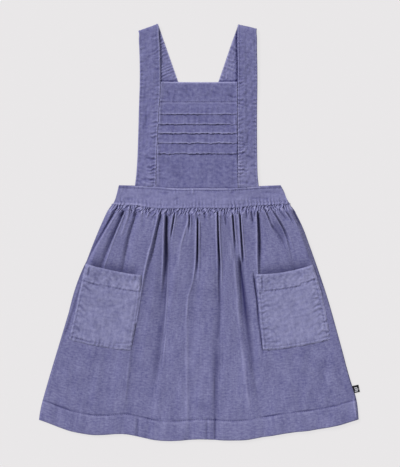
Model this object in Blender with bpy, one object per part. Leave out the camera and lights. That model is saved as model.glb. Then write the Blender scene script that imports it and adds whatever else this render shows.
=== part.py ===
"""Girl's pinafore dress in needlecord, laid on its back on a flat surface.

The bib has a turned top hem and five tucks. One band a side runs up beside the bib, folds over
at the shoulder and crosses its twin at the back. The skirt is two gathered panels under a
waistband, with two patch pockets and a folded label in the side seam.

X runs across the dress, +Y towards the shoulders, +Z up from the surface that it lies on. The
origin is on that surface, under the middle of the dress. Every piece is a wall of cloth, and
neighbours keep a small gap at their seam.
"""
from collections import namedtuple
import math

import bmesh
import bpy
from mathutils import Vector
from mathutils.bvhtree import BVHTree

MM = 0.001  # the sizes and tables below are in millimetres, the scene is in metres

# Cloth
CLOTH = 1.4  # one layer of needlecord
DOUBLED = 2.2  # a folded band, a strap or a turned hem
SEAM_GAP = 0.3  # between pieces that are sewn edge to edge
LAYER_GAP = 0.4  # between layers that lie on each other

# Dress
SHOULDER_RADIUS = 2.8  # outside of the fold at the shoulder
WAISTBAND_TOP = 69.0
WAISTBAND_OVERLAP = 13.0  # the strap ends lie inside the back waistband
HEM_DEPTH = 30.0
BIB_TOP = 225.8
BIB_TOP_DIP = 0.8  # the top edge sags a little between the bands
BIB_HEM_DEPTH = 30.0
TUCK_RISE = 1.3  # a tuck's edge above the cloth under it
TUCK_EDGES = (177.5, 162.3, 148.5, 133.8, 118.1)
STEP_RUN = 0.7  # a step in the cloth, such as a tuck's edge, drops over this length
BIB_PLAIN_ROWS = (102.0, 86.0)

# Heights of the front layer above the waist, over the straps that cross under it
FRONT_REST = 2.7
HUMP_HEIGHT = 5.4
HUMP_FLAT, HUMP_REACH = 32.0, 112.0  # half widths: level top, and where it ends
HUMP_START, HUMP_FULL = 215.0, 105.0  # along the bib
SHOULDER_LIFT = 0.7
EDGE_SINK = 1.9  # the bands' outer edges drop beside the bib

# Gathers
BACK_PUFF = 2.4  # depth of the back panel's troughs at the waist
SKIRT_REST = 3.4  # the front panel's outer face, where it lies flat
HEM_REST = 5.0  # the same over the doubled hems
WAIST_BLEND = 70.0  # the skirt sinks from the waistband to its rest over this length
CRIMP_PUFF = 3.0  # the gathers' height at the waist seam
FULL_PUFF = 7.0  # and where they are fullest
FULL_DEPTH = 14.0

SIDE_ROLL = 6.0  # the front panel turns down to the side seam over this width

LABEL_REACH, LABEL_HEIGHT, LABEL_THICK = 9.0, 10.6, 1.2
LABEL_Y = -235.0
LABEL_REST = 0.8  # its underside, level with the seam that holds it
LABEL_FOLD = 0.25  # its folded edge is rounded by this much

CORD_COLOUR = (0.165, 0.160, 0.315, 1.0)
POCKET_COLOUR = (0.215, 0.210, 0.375, 1.0)
LABEL_COLOUR = (0.012, 0.012, 0.014, 1.0)

# Side seams of the skirt: height, left edge, right edge of the front panel
SkirtRow = namedtuple("SkirtRow", "y left right")
SKIRT_SIDES = (
    SkirtRow(41.0, -132.8, 137.6),
    SkirtRow(26.0, -141.5, 146.5),
    SkirtRow(11.0, -148.8, 154.5),
    SkirtRow(-19.0, -160.5, 165.8),
    SkirtRow(-49.0, -171.0, 175.5),
    SkirtRow(-94.0, -187.0, 190.5),
    SkirtRow(-169.0, -210.5, 212.0),
    SkirtRow(-229.0, -228.5, 229.0),
    SkirtRow(-281.0, -239.0, 237.5),
)
BACK_PEEK = 1.2  # the back panel shows this far outside the front one

# Lower edge: distance from the centre line, height
EdgeRow = namedtuple("EdgeRow", "x y")
HEM_EDGE = (
    EdgeRow(-239.0, -280.0),
    EdgeRow(-205.0, -292.5),
    EdgeRow(-163.0, -302.7),
    EdgeRow(-125.0, -301.3),
    EdgeRow(-93.0, -304.5),
    EdgeRow(-74.0, -309.6),
    EdgeRow(-34.0, -312.0),
    EdgeRow(73.0, -310.6),
    EdgeRow(124.0, -302.0),
    EdgeRow(193.0, -291.6),
    EdgeRow(239.0, -280.0),
)
WAIST_SEAM = (
    EdgeRow(-134.0, 41.6),
    EdgeRow(-100.0, 38.2),
    EdgeRow(0.0, 37.0),
    EdgeRow(100.0, 38.6),
    EdgeRow(139.0, 43.0),
)
WAISTBAND_LEFT = (EdgeRow(-119.2, WAISTBAND_TOP + 1.2), EdgeRow(-125.0, 52.0), EdgeRow(-132.8, 41.9))
WAISTBAND_RIGHT = (EdgeRow(122.0, WAISTBAND_TOP + 1.0), EdgeRow(131.5, 52.0), EdgeRow(137.6, 43.2))

# Troughs of the gathers: where each runs at the waist, the hip and the hem, its depth as a share
# of the puff, how far below the waist it ends, and its half width
Fold = namedtuple("Fold", "waist hip hem depth reach width")
HIP_Y = -50.0
FRONT_FOLDS = (
    Fold(-126.0, -164.0, -226.0, 0.55, 55.0, 2.5),
    Fold(-112.0, -146.0, -200.0, 0.90, 95.0, 3.5),
    Fold(-94.5, -112.0, -160.0, 0.70, 95.0, 3.5),
    Fold(-79.0, -93.0, -136.0, 0.40, 35.0, 2.5),
    Fold(-56.0, -76.0, -117.0, 0.95, 300.0, 3.0),
    Fold(-47.5, -50.0, -73.0, 1.00, 300.0, 3.5),
    Fold(-34.0, -39.0, -51.0, 0.60, 45.0, 2.5),
    Fold(-13.5, -18.0, -31.0, 0.45, 30.0, 2.5),
    Fold(-1.5, -4.0, -13.0, 0.90, 220.0, 3.0),
    Fold(28.0, 30.5, 25.0, 0.90, 350.0, 3.5),
    Fold(49.5, 60.0, 88.0, 0.90, 250.0, 4.5),
    Fold(61.0, 69.5, 108.0, 0.70, 100.0, 2.5),
    Fold(88.5, 92.5, 127.0, 0.95, 110.0, 3.5),
    Fold(98.0, 128.0, 165.0, 0.60, 60.0, 2.5),
    Fold(109.5, 148.0, 200.0, 0.75, 65.0, 3.5),
    Fold(133.0, 166.0, 224.0, 0.55, 40.0, 2.5),
)
BACK_FOLDS = (
    Fold(-117.0, -150.0, -205.0, 0.75, 80.0, 4.0),
    Fold(-96.0, -124.0, -170.0, 0.55, 55.0, 3.5),
    Fold(-71.0, -88.0, -131.0, 1.00, 170.0, 5.0),
    Fold(-49.0, -60.0, -86.0, 0.60, 70.0, 3.5),
    Fold(-22.0, -25.0, -36.0, 0.90, 130.0, 4.5),
    Fold(3.0, 5.0, 8.0, 0.50, 45.0, 3.5),
    Fold(24.0, 30.0, 46.0, 1.00, 160.0, 5.0),
    Fold(52.0, 68.0, 97.0, 0.70, 90.0, 4.0),
    Fold(80.0, 99.0, 140.0, 0.95, 145.0, 4.5),
    Fold(104.0, 131.0, 182.0, 0.60, 60.0, 3.5),
    Fold(124.0, 158.0, 216.0, 0.80, 75.0, 4.0),
)
FRONT_DEPTHS = (0.0, 3.0, 8.0, 15.0, 25.0, 38.0, 55.0, 78.0, 108.0, 145.0, 190.0, 240.0, 280.0)
BACK_DEPTHS = (0.0, 8.0, 20.0, 38.0, 62.0, 95.0, 140.0, 200.0, 260.0)
HEM_LINE_GAP = 12.0  # between the tables' last row and the turned hem
HEM_STEP = 1.5  # the turned hem's inner edge

# The bands beside the bib, from the waistband to the shoulder: outer edge, inner edge
BandRow = namedtuple("BandRow", "outer_x outer_y inner_x inner_y")
LEFT_BAND = (
    BandRow(-97.3, 69.8, -65.0, 69.8),
    BandRow(-94.5, 86.0, -64.8, 86.0),
    BandRow(-92.3, 110.0, -64.2, 110.0),
    BandRow(-91.0, 145.0, -62.6, 145.0),
    BandRow(-90.0, 185.0, -60.4, 185.0),
    BandRow(-88.6, 225.0, -58.1, 225.0),
    BandRow(-88.1, 248.0, -58.4, 250.0),
    BandRow(-89.6, 274.0, -59.2, 280.0),
    BandRow(-90.8, 288.0, -60.6, 297.0),
)
RIGHT_BAND = (
    BandRow(89.6, 69.8, 59.6, 69.8),
    BandRow(88.0, 86.0, 59.4, 86.0),
    BandRow(87.2, 110.0, 59.0, 110.0),
    BandRow(87.0, 145.0, 58.5, 145.0),
    BandRow(87.0, 185.0, 58.0, 185.0),
    BandRow(86.8, 225.0, 57.9, 225.0),
    BandRow(86.3, 248.0, 58.2, 250.0),
    BandRow(85.5, 274.0, 58.7, 280.0),
    BandRow(86.2, 291.0, 59.0, 297.0),
)
# The fold at the shoulder, then the back run: its inner edge leans to the centre line
Shoulder = namedtuple("Shoulder", "outer_x outer_y inner_x inner_y lean across over_twin")
LEFT_SHOULDER = Shoulder(-91.2, 301.4, -61.8, 311.8, 0.347, 31.8, False)
RIGHT_SHOULDER = Shoulder(86.7, 305.1, 59.1, 311.4, 0.319, 31.5, True)
BACK_RUN = (288.0, 262.0, 226.0, 190.0, 162.0, 140.0, 112.0, 84.0, 74.0, WAISTBAND_TOP - WAISTBAND_OVERLAP)
TWIN_RISE = (162.0, 140.0)  # the upper strap climbs over the lower one between these
WAIST_RISE = (84.0, 74.0)  # both climb over the back waistband
FOLD_STEPS = 6
STRAP_COLUMNS = 4
STRAP_CROWN = 0.3

# Patch pockets: middle, turn in degrees, width at the mouth and the bottom, depth, mouth's sag
Pocket = namedtuple("Pocket", "name x y turn mouth bottom depth sag")
POCKETS = (
    Pocket("pocket_left", -139.0, -111.6, -10.3, 85.0, 94.0, 117.0, 2.6),
    Pocket("pocket_right", 136.8, -112.3, 9.5, 87.0, 102.0, 116.0, 4.0),
)
POCKET_BAND = 25.0  # turned hem at the mouth
POCKET_BOTTOM_BOW = 1.8
POCKET_COLUMNS = 12
POCKET_ROWS = (0.0, 0.03, 0.12, 0.205, 0.225, 0.35, 0.5, 0.65, 0.8, 0.95, 1.0)
POCKET_MOUTH_LIFT = 0.8


def clear_scene():
    for item in list(bpy.data.objects):
        bpy.data.objects.remove(item, do_unlink=True)


def smooth(share):
    """0 to 1 with level ends."""
    share = min(max(share, 0.0), 1.0)
    return share * share * (3.0 - 2.0 * share)


def curve(points, at):
    """Value at a place on the smooth curve through (place, value) points in rising order."""
    places = [point[0] for point in points]
    values = [point[1] for point in points]
    at = min(max(at, places[0]), places[-1])
    last = len(points) - 2
    span = next((i for i in range(last) if at <= places[i + 1]), last)

    def slope(i):
        before, after = max(i - 1, 0), min(i + 1, len(points) - 1)
        return (values[after] - values[before]) / (places[after] - places[before])

    width = places[span + 1] - places[span]
    t = (at - places[span]) / width
    start, end = values[span], values[span + 1]
    rise_start, rise_end = slope(span) * width, slope(span + 1) * width
    return (
        (2 * t**3 - 3 * t**2 + 1) * start
        + (t**3 - 2 * t**2 + t) * rise_start
        + (3 * t**2 - 2 * t**3) * end
        + (t**3 - t**2) * rise_end
    )


def material(name, colour, roughness):
    made = bpy.data.materials.new(name)
    made.use_nodes = True
    shader = made.node_tree.nodes["Principled BSDF"]
    shader.inputs["Base Color"].default_value = colour
    shader.inputs["Roughness"].default_value = roughness
    shader.inputs["Metallic"].default_value = 0.0
    return made


def wall(name, columns, rows, place, colour, roughness=0.9):
    """A closed wall of cloth over a grid; place(column, row) gives its inner and outer point."""
    form = bmesh.new()
    bmesh.ops.create_grid(form, x_segments=columns, y_segments=rows, size=1.0)
    doubled = bmesh.ops.extrude_face_region(form, geom=form.faces[:], use_keep_orig=True)
    outer = {item for item in doubled["geom"] if isinstance(item, bmesh.types.BMVert)}
    for vert in form.verts:
        column = round((vert.co.x + 1.0) / 2.0 * columns)
        row = round((1.0 - vert.co.y) / 2.0 * rows)
        inner_point, outer_point = place(column, row)
        vert.co = MM * Vector(outer_point if vert in outer else inner_point)
    bmesh.ops.recalc_face_normals(form, faces=form.faces[:])
    if form.calc_volume(signed=True) < 0.0:
        bmesh.ops.reverse_faces(form, faces=form.faces[:])
    mesh = bpy.data.meshes.new(name)
    form.to_mesh(mesh)
    form.free()
    mesh.shade_smooth()
    mesh.set_sharp_from_angle(angle=math.radians(50.0))
    mesh.materials.append(material(name, colour, roughness))
    piece = bpy.data.objects.new(name, mesh)
    bpy.context.scene.collection.objects.link(piece)
    return piece


def hump(x, y):
    """Rise of the front layer over the crossed straps."""
    across = 1.0 - smooth((abs(x) - HUMP_FLAT) / (HUMP_REACH - HUMP_FLAT))
    along = smooth((HUMP_START - y) / (HUMP_START - HUMP_FULL))
    return HUMP_HEIGHT * across * along


def front_lay(x, y):
    """Underside of the bib and the bands."""
    shoulder = SHOULDER_LIFT * smooth((y - 250.0) / 40.0)
    beside = smooth((abs(x) - 60.0) / 28.0)
    sink = EDGE_SINK * beside * smooth((215.0 - y) / 30.0) * smooth((y - 76.0) / 25.0)
    return FRONT_REST + hump(x, y) + shoulder - sink


# --- Skirt ---------------------------------------------------------------------------------


def side_x(side, y, peek=0.0):
    rows = sorted((row.y, getattr(row, side)) for row in SKIRT_SIDES)
    edge = curve(rows, y)
    return edge + math.copysign(peek, edge)


def fold_x(fold, y):
    """Across position of a fold's trough at a height."""
    rows = ((-312.0, fold.hem), (HIP_Y, fold.hip), (42.0, fold.waist))
    return curve(rows, y)


def fade(fold, below_waist):
    """Share of a trough's depth that is left this far below the waist."""
    return 1.0 - smooth((below_waist - 0.25 * fold.reach) / (0.75 * fold.reach))


def front_puff(below_waist):
    """Height of the cloth between the troughs, above its rest."""
    swell = CRIMP_PUFF + (FULL_PUFF - CRIMP_PUFF) * smooth(below_waist / FULL_DEPTH)
    settle = 1.0 - smooth((below_waist - FULL_DEPTH) / 150.0)
    return swell * (0.14 + 0.86 * settle)


def skirt_columns(folds, y, roll, peek):
    """Across positions at a height: (x, trough or None, share of the puff) from left to right."""
    left, right = side_x("left", y, peek), side_x("right", y, peek)
    centres = [fold_x(fold, y) for fold in folds]
    stops = [left] + centres + [right]
    columns = [(left, None, 0.0)]
    if roll:
        columns.append((left + roll, None, 0.45))
    for i, fold in enumerate(folds):
        widen = 0.6 + 0.4 * smooth((45.0 - y) / 25.0) + 0.9 * smooth((20.0 - y) / 250.0)
        room = min(centres[i] - stops[i], stops[i + 2] - centres[i])
        half = min(fold.width * widen, 0.36 * room)
        if i and roll:
            columns.append(((centres[i - 1] + centres[i]) / 2.0, None, 1.0))
        columns.append((centres[i] - half, None, 0.85))
        columns.append((centres[i], fold, 0.85))
        columns.append((centres[i] + half, None, 0.85))
    if roll:
        columns.append((right - roll, None, 0.45))
    columns.append((right, None, 0.0))
    return columns


def skirt_rows(depths, hem_y, waist_y):
    """Distances below the waist: the table's, then the turned hem's edge and the lower edge."""
    length = waist_y - hem_y
    hem = length - HEM_DEPTH
    scale = (hem - HEM_STEP) / (depths[-1] + HEM_LINE_GAP)
    return [depth * scale for depth in depths] + [hem - HEM_STEP, hem, length]


def skirt_place(folds, depths, column, row, roll, peek):
    """Plan position, trough, puff share and distance below the waist of one grid point."""
    waist_x, fold, share = skirt_columns(folds, 40.0, roll, peek)[column]
    hem_x = skirt_columns(folds, -295.0, roll, peek)[column][0]
    waist_y = curve(WAIST_SEAM, waist_x) - SEAM_GAP
    below = skirt_rows(depths, curve(HEM_EDGE, hem_x), waist_y)[row]
    y = waist_y - below
    x = skirt_columns(folds, y, roll, peek)[column][0]
    return x, y, fold, share, below


def in_hem(depths, row):
    return row >= len(depths) + 1


def make_skirt_back():
    def place(column, row):
        x, y, fold, _, below = skirt_place(BACK_FOLDS, BACK_DEPTHS, column, row, 0.0, BACK_PEEK)
        lift = BACK_PUFF * fold.depth * fade(fold, below) if fold else 0.0
        thick = DOUBLED if in_hem(BACK_DEPTHS, row) else CLOTH
        return (x, y, lift), (x, y, lift + thick)

    columns = 3 * len(BACK_FOLDS) + 1
    return wall("skirt_back", columns, len(BACK_DEPTHS) + 2, place, CORD_COLOUR)


def front_face(x, fold, share, below):
    """Height of the front panel's outer face."""
    over_back = BACK_PUFF * (1.0 - smooth((below - 40.0) / 130.0))
    near_waist = 1.0 - smooth(below / WAIST_BLEND)
    puff = front_puff(below) * share
    if fold:
        puff *= 1.0 - fold.depth * fade(fold, below)
    over_hem = (HEM_REST - SKIRT_REST) * smooth((below - 150.0) / 80.0)
    return SKIRT_REST + over_hem + over_back + hump(x, HUMP_FULL) * near_waist + puff


def make_skirt_front():
    def place(column, row):
        x, y, fold, share, below = skirt_place(FRONT_FOLDS, FRONT_DEPTHS, column, row, SIDE_ROLL, 0.0)
        face = front_face(x, fold, share, below)
        thick = DOUBLED if in_hem(FRONT_DEPTHS, row) else CLOTH
        return (x, y, face - thick), (x, y, face)

    columns = 4 * len(FRONT_FOLDS) + 2
    return wall("skirt_front", columns, len(FRONT_DEPTHS) + 2, place, CORD_COLOUR)


# --- Waistband -----------------------------------------------------------------------------


def waistband_point(across, down):
    """Plan position on the waistband: across 0 to 1 from the left, down 0 to 1."""
    left_rows = sorted((row.y, row.x) for row in WAISTBAND_LEFT)
    right_rows = sorted((row.y, row.x) for row in WAISTBAND_RIGHT)
    left_y = WAISTBAND_LEFT[0].y + (WAISTBAND_LEFT[-1].y - WAISTBAND_LEFT[0].y) * down
    right_y = WAISTBAND_RIGHT[0].y + (WAISTBAND_RIGHT[-1].y - WAISTBAND_RIGHT[0].y) * down
    x = curve(left_rows, left_y) * (1.0 - across) + curve(right_rows, right_y) * across
    edge = smooth((abs(2.0 * across - 1.0) - 0.7) / 0.3)
    top = WAISTBAND_TOP + 1.1 * edge
    return x, top + (curve(WAIST_SEAM, x) - top) * down


def make_waistband_front():
    columns, rows = 30, 6

    def place(column, row):
        x, y = waistband_point(column / columns, row / rows)
        rim = min(row, rows - row, 1)
        face = FRONT_REST + hump(x, HUMP_FULL) + DOUBLED - 0.5 * (1 - rim)
        return (x, y, face - DOUBLED + 0.3 * (1 - rim)), (x, y, face)

    return wall("waistband_front", columns, rows, place, CORD_COLOUR)


def make_waistband_back():
    columns, rows = 16, 3

    def place(column, row):
        x, y = waistband_point(column / columns, row / rows)
        return (x, y, 0.0), (x, y, DOUBLED)

    return wall("waistband_back", columns, rows, place, CORD_COLOUR)


# --- Bib and straps ------------------------------------------------------------------------


def bib_side(band, y):
    rows = [(row.inner_y, row.inner_x) for row in band]
    edge = curve(rows, y)
    return edge - math.copysign(SEAM_GAP, edge)


def bib_rows():
    """(height, rise of the outer face, cloth thickness) from the top hem down."""
    hem_edge = BIB_TOP - BIB_HEM_DEPTH
    heights = (BIB_TOP, BIB_TOP - BIB_HEM_DEPTH / 2.0, hem_edge)
    rows = [(y, 0.0, DOUBLED) for y in heights]
    rows.append((hem_edge - STEP_RUN, 0.0, CLOTH))
    above = hem_edge - STEP_RUN
    for edge in TUCK_EDGES:
        rows.append(((above + edge) / 2.0, TUCK_RISE / 2.0, CLOTH))
        rows.append((edge + STEP_RUN, TUCK_RISE, CLOTH))
        rows.append((edge, 0.0, CLOTH))
        above = edge
    foot = WAISTBAND_TOP + 2 * SEAM_GAP
    return rows + [(y, 0.0, CLOTH) for y in BIB_PLAIN_ROWS + (foot,)]


def make_bib():
    columns = 8
    rows = bib_rows()

    def place(column, row):
        y, rise, thick = rows[row]
        across = column / columns
        y -= BIB_TOP_DIP * math.sin(math.pi * across) if row == 0 else 0.0
        x = bib_side(LEFT_BAND, y) * (1.0 - across) + bib_side(RIGHT_BAND, y) * across
        under = front_lay(x, y)
        return (x, y, under), (x, y, under + thick + rise)

    return wall("bib", columns, len(rows) - 1, place, CORD_COLOUR)


def front_sections(band):
    """Sections of a band's front run: outer edge, inner edge, direction that its face looks."""
    up = Vector((0.0, 0.0, 1.0))
    sections = []
    for row in band:
        outer_z = front_lay(row.outer_x, row.outer_y) + DOUBLED / 2.0
        inner_z = front_lay(row.inner_x, row.inner_y) + DOUBLED / 2.0
        outer = Vector((row.outer_x, row.outer_y, outer_z))
        inner = Vector((row.inner_x, row.inner_y, inner_z))
        sections.append((outer, inner, up))
    return sections


def fold_sections(shoulder, front_z):
    """Sections of the half turn over the shoulder."""
    outer = Vector((shoulder.outer_x, shoulder.outer_y, 0.0))
    inner = Vector((shoulder.inner_x, shoulder.inner_y, 0.0))
    along = (inner - outer).normalized()
    away = Vector((-along.y, along.x, 0.0))
    away = away if away.y > 0.0 else -away
    up = Vector((0.0, 0.0, 1.0))
    back_z = DOUBLED / 2.0
    middle, radius = (front_z + back_z) / 2.0, (front_z - back_z) / 2.0
    inset = away * SHOULDER_RADIUS
    sections = []
    for step in range(FOLD_STEPS + 1):
        turn = math.pi * step / FOLD_STEPS
        face = away * math.sin(turn) + up * math.cos(turn)
        shift = up * middle + face * radius - inset
        sections.append((outer + shift, inner + shift, face))
    return sections


def back_sections(shoulder, side):
    """Sections of the back run, down to its end inside the back waistband."""
    down = Vector((0.0, 0.0, -1.0))
    step_up = DOUBLED + LAYER_GAP
    sections = []
    for y in BACK_RUN:
        inner_x = -side * (abs(shoulder.inner_x) - shoulder.lean * (shoulder.inner_y - y))
        outer_x = inner_x - side * shoulder.across
        rise = smooth((WAIST_RISE[0] - y) / (WAIST_RISE[0] - WAIST_RISE[1])) * step_up
        if shoulder.over_twin:
            rise += smooth((TWIN_RISE[0] - y) / (TWIN_RISE[0] - TWIN_RISE[1])) * step_up
        z = rise + DOUBLED / 2.0
        sections.append((Vector((outer_x, y, z)), Vector((inner_x, y, z)), down))
    return sections


def make_strap(name, band, shoulder, side):
    front = front_sections(band)
    fold = fold_sections(shoulder, front[-1][1].z)
    sections = front + fold + back_sections(shoulder, side)

    def place(column, row):
        outer, inner, face = sections[row]
        across = column / STRAP_COLUMNS
        middle = outer.lerp(inner, across)
        rim = STRAP_CROWN * (1.0 - math.sin(math.pi * across))
        below = face.z < -0.99
        inner_face = middle - face * (DOUBLED / 2.0 - (rim if below else 0.0))
        outer_face = middle + face * (DOUBLED / 2.0 - (0.0 if below else rim))
        return inner_face, outer_face

    return wall(name, STRAP_COLUMNS, len(sections) - 1, place, CORD_COLOUR)


# --- Pockets and label ---------------------------------------------------------------------


def faces_of(piece):
    form = bmesh.new()
    form.from_mesh(piece.data)
    tree = BVHTree.FromBMesh(form)
    form.free()
    return tree


def top_of(tree, x, y, around=5.0, directions=12):
    """Highest point of a piece's outer face at and around a place."""
    heights = []
    for reach in (0.0, around / 2.0, around):
        for step in range(directions):
            turn = 2.0 * math.pi * step / directions
            place = Vector((x + reach * math.cos(turn), y + reach * math.sin(turn), 60.0))
            hit = tree.ray_cast(MM * place, Vector((0.0, 0.0, -1.0)))[0]
            if hit:
                heights.append(hit.z / MM)
    return max(heights)


def make_pocket(pocket, skirt):
    turn = math.radians(pocket.turn)
    rows = len(POCKET_ROWS) - 1

    def place(column, row):
        across = 2.0 * column / POCKET_COLUMNS - 1.0
        down = POCKET_ROWS[row]
        half = 0.5 * (pocket.mouth + (pocket.bottom - pocket.mouth) * down)
        bow = pocket.sag * (1.0 - down) + POCKET_BOTTOM_BOW * down
        local_x = across * half
        local_y = pocket.depth * (0.5 - down) - bow * (1.0 - across * across)
        x = pocket.x + local_x * math.cos(turn) - local_y * math.sin(turn)
        y = pocket.y + local_x * math.sin(turn) + local_y * math.cos(turn)
        in_band = down * pocket.depth < POCKET_BAND
        mouth = POCKET_MOUTH_LIFT * (1.0 - smooth(down / 0.3)) * (1.0 - across * across)
        under = top_of(skirt, x, y) + LAYER_GAP + mouth
        return (x, y, under), (x, y, under + (DOUBLED if in_band else CLOTH))

    return wall(pocket.name, POCKET_COLUMNS, rows, place, POCKET_COLOUR)


def make_label():
    columns, rows = 4, 4

    def place(column, row):
        y = LABEL_Y + LABEL_HEIGHT * (0.5 - row / rows)
        seam = side_x("right", y, BACK_PEEK) + SEAM_GAP
        x = seam + LABEL_REACH * column / columns
        round_edge = LABEL_FOLD if column == columns else 0.0
        top = LABEL_REST + LABEL_THICK
        return (x, y, LABEL_REST + round_edge), (x, y, top - round_edge)

    return wall("side_label", columns, rows, place, LABEL_COLOUR, roughness=0.6)


def main():
    clear_scene()
    make_skirt_back()
    make_waistband_back()
    make_strap("strap_left", LEFT_BAND, LEFT_SHOULDER, 1.0)
    make_strap("strap_right", RIGHT_BAND, RIGHT_SHOULDER, -1.0)
    make_bib()
    make_waistband_front()
    skirt = faces_of(make_skirt_front())
    for pocket in POCKETS:
        make_pocket(pocket, skirt)
    make_label()


main()
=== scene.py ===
"""Girl's pinafore dress in violet needlecord, laid on its back on a pale surface.

Each cut piece of cloth is a wall over a fine grid. Its outer face is worked out from the sizes of
the dress and from short tables of folds, tucks and creases, one row to each, in millimetres.
"""
from collections import namedtuple
import math

import bmesh
import bpy
from mathutils import Matrix, Vector
from mathutils.bvhtree import BVHTree
import numpy as np


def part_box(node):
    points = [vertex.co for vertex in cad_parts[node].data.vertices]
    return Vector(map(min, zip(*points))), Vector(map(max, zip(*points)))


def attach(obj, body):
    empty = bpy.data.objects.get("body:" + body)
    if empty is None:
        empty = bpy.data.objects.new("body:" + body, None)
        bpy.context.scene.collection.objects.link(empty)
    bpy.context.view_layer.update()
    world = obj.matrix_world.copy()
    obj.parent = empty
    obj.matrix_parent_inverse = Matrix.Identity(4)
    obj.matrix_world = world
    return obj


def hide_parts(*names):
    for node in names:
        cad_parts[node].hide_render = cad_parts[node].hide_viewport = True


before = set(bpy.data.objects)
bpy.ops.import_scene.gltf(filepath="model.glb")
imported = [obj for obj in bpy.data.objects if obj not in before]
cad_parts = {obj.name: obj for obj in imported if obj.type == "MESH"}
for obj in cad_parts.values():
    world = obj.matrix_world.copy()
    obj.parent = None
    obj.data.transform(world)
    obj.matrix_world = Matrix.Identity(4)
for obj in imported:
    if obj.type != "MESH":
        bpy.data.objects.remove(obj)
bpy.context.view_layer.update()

MM = 0.001  # tables and shape functions are in millimetres, meshes in metres

# --- Sizes of the dress --------------------------------------------------------------------

CLOTH = 1.3  # one layer of needlecord
DOUBLED = 2.2  # a folded band, a strap or a turned hem
LAYER_GAP = 0.4
SEAM_GAP = 0.2
SEAM_TUCK = 1.0  # how far an edge goes under the piece that it is sewn to
HEM_DEPTH = 30.0
WALE = 1.5  # width of one rib of the cord

# How high the front layer lies over the straps that cross under it
FRONT_REST = 2.7
HUMP_HEIGHT = 5.4
HUMP_FLAT, HUMP_REACH = 32.0, 112.0
HUMP_START, HUMP_FULL = 215.0, 105.0

# The bands lift towards the shoulders, and their outer edges sink between waist and armhole
SHOULDER_LIFT, LIFT_FROM, LIFT_RUN = 0.7, 250.0, 40.0
EDGE_SINK, SINK_FROM, SINK_RUN = 1.9, 60.0, 28.0
SINK_TOP, SINK_TOP_RUN = 215.0, 30.0
SINK_FOOT, SINK_FOOT_RUN = 76.0, 25.0

# Skirt: the rest of its outer face over the back panel, then the gathers' fullness
SKIRT_REST = 3.4
HEM_REST = 5.0
BACK_PUFF = 2.4
WAIST_BLEND = 75.0
FULL_PUFF = 7.5
FULL_DEPTH = 11.0
CRIMP_PITCH = 4.6
CRIMP_HEIGHT = 1.7
PULL_HEIGHT = 1.0
SEAM_EDGE = 0.4  # thickness of the skirt's edge in the waist seam

# Sizes of the flat cloth
CUT_WIDTH, CUT_LENGTH = 505.0, 385.0  # one skirt panel with its turned hem
GATHERED_WIDTH = 272.0  # the panel's width at the waist seam
# A piece's own coordinates start this far left of its middle
BAND_START, BIB_START, POCKET_START = 130.0, 70.0, 60.0

# Columns and rows of each piece's grid; the bib's rows follow its tucks
SKIRT_GRID, SKIRT_BACK_GRID = (460, 104), (260, 110)
BAND_GRID, BAND_BACK_GRID = (330, 32), (260, 26)
STRAP_GRID, POCKET_GRID = (40, 520), (96, 126)
BIB_COLUMNS = 132

RIM_WIDTH = 1.6  # the skirt's edges thin out over this width
RIM_ANGLE = 65.0  # a rim is shaded sharp where it turns by more
ABOVE_DRESS, BELOW_DRESS = 0.08, -0.02  # where sight lines start, in metres


# --- Tables, curves and uneven waves -------------------------------------------------------


def table(kind, *rows):
    """The rows of a table, with a name for each column."""
    return [kind(*row) for row in rows]


def smooth(share):
    """0 to 1 with level ends."""
    share = np.clip(share, 0.0, 1.0)
    return share * share * (3.0 - 2.0 * share)


def fade(share):
    """1 to 0 with level ends."""
    return 1.0 - smooth(share)


def curve(points, at):
    """Smooth curve through (place, value) points in rising order, read at an array of places."""
    places = np.array([point[0] for point in points], float)
    values = np.array([point[1] for point in points], float)
    slopes = np.gradient(values, places)
    at = np.clip(at, places[0], places[-1])
    span = np.clip(np.searchsorted(places, at) - 1, 0, len(places) - 2)
    width = places[span + 1] - places[span]
    t = (at - places[span]) / width
    start, end = values[span], values[span + 1]
    rise_start, rise_end = slopes[span] * width, slopes[span + 1] * width
    return (
        (2 * t**3 - 3 * t**2 + 1) * start
        + (t**3 - 2 * t**2 + t) * rise_start
        + (3 * t**2 - 2 * t**3) * end
        + (t**3 - t**2) * rise_end
    )


def measured(steps):
    """Distances of points along a line, from the steps between them."""
    return np.concatenate([[0.0], np.cumsum(steps)])


def crowded(share, density, places):
    """Where shares come to lie among places, closer together where the density is high."""
    total = measured((density[1:] + density[:-1]) / 2.0)
    return np.interp(share, total / total[-1], places)


def nearest(*distances):
    """The least of some distances, place by place."""
    return np.min(np.broadcast_arrays(*distances), axis=0)


def ripple(at, pitch, seed, spread=0.3, terms=5):
    """An uneven wave of about this pitch, mostly between -1 and 1."""
    dice = np.random.RandomState(seed)
    total = np.zeros_like(np.asarray(at, float))
    for _ in range(terms):
        own = pitch * (1.0 + spread * dice.uniform(-1.0, 1.0))
        total += np.cos(2.0 * np.pi * (at / own + dice.uniform()))
    return total / terms**0.75


def mottle(x, y, size, seed, terms=14):
    """Uneven hills and hollows of about this size, mostly between -1 and 1."""
    dice = np.random.RandomState(seed)
    total = np.zeros_like(np.asarray(x, float))
    for _ in range(terms):
        turn = dice.uniform(0.0, np.pi)
        own = size * dice.uniform(0.7, 1.5)
        along = x * math.cos(turn) + y * math.sin(turn)
        total += np.cos(2.0 * np.pi * (along / own + dice.uniform()))
    return total / terms**0.6


def hill(distance, width):
    """A rounded ridge, 1 at its line and 0 well away from it."""
    return np.exp(-((distance / width) ** 2))


# A soft crease or, where it is less than 0 deep, a soft ridge between two places on a piece
Crease = namedtuple("Crease", "x y to_x to_y deep wide")


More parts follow.
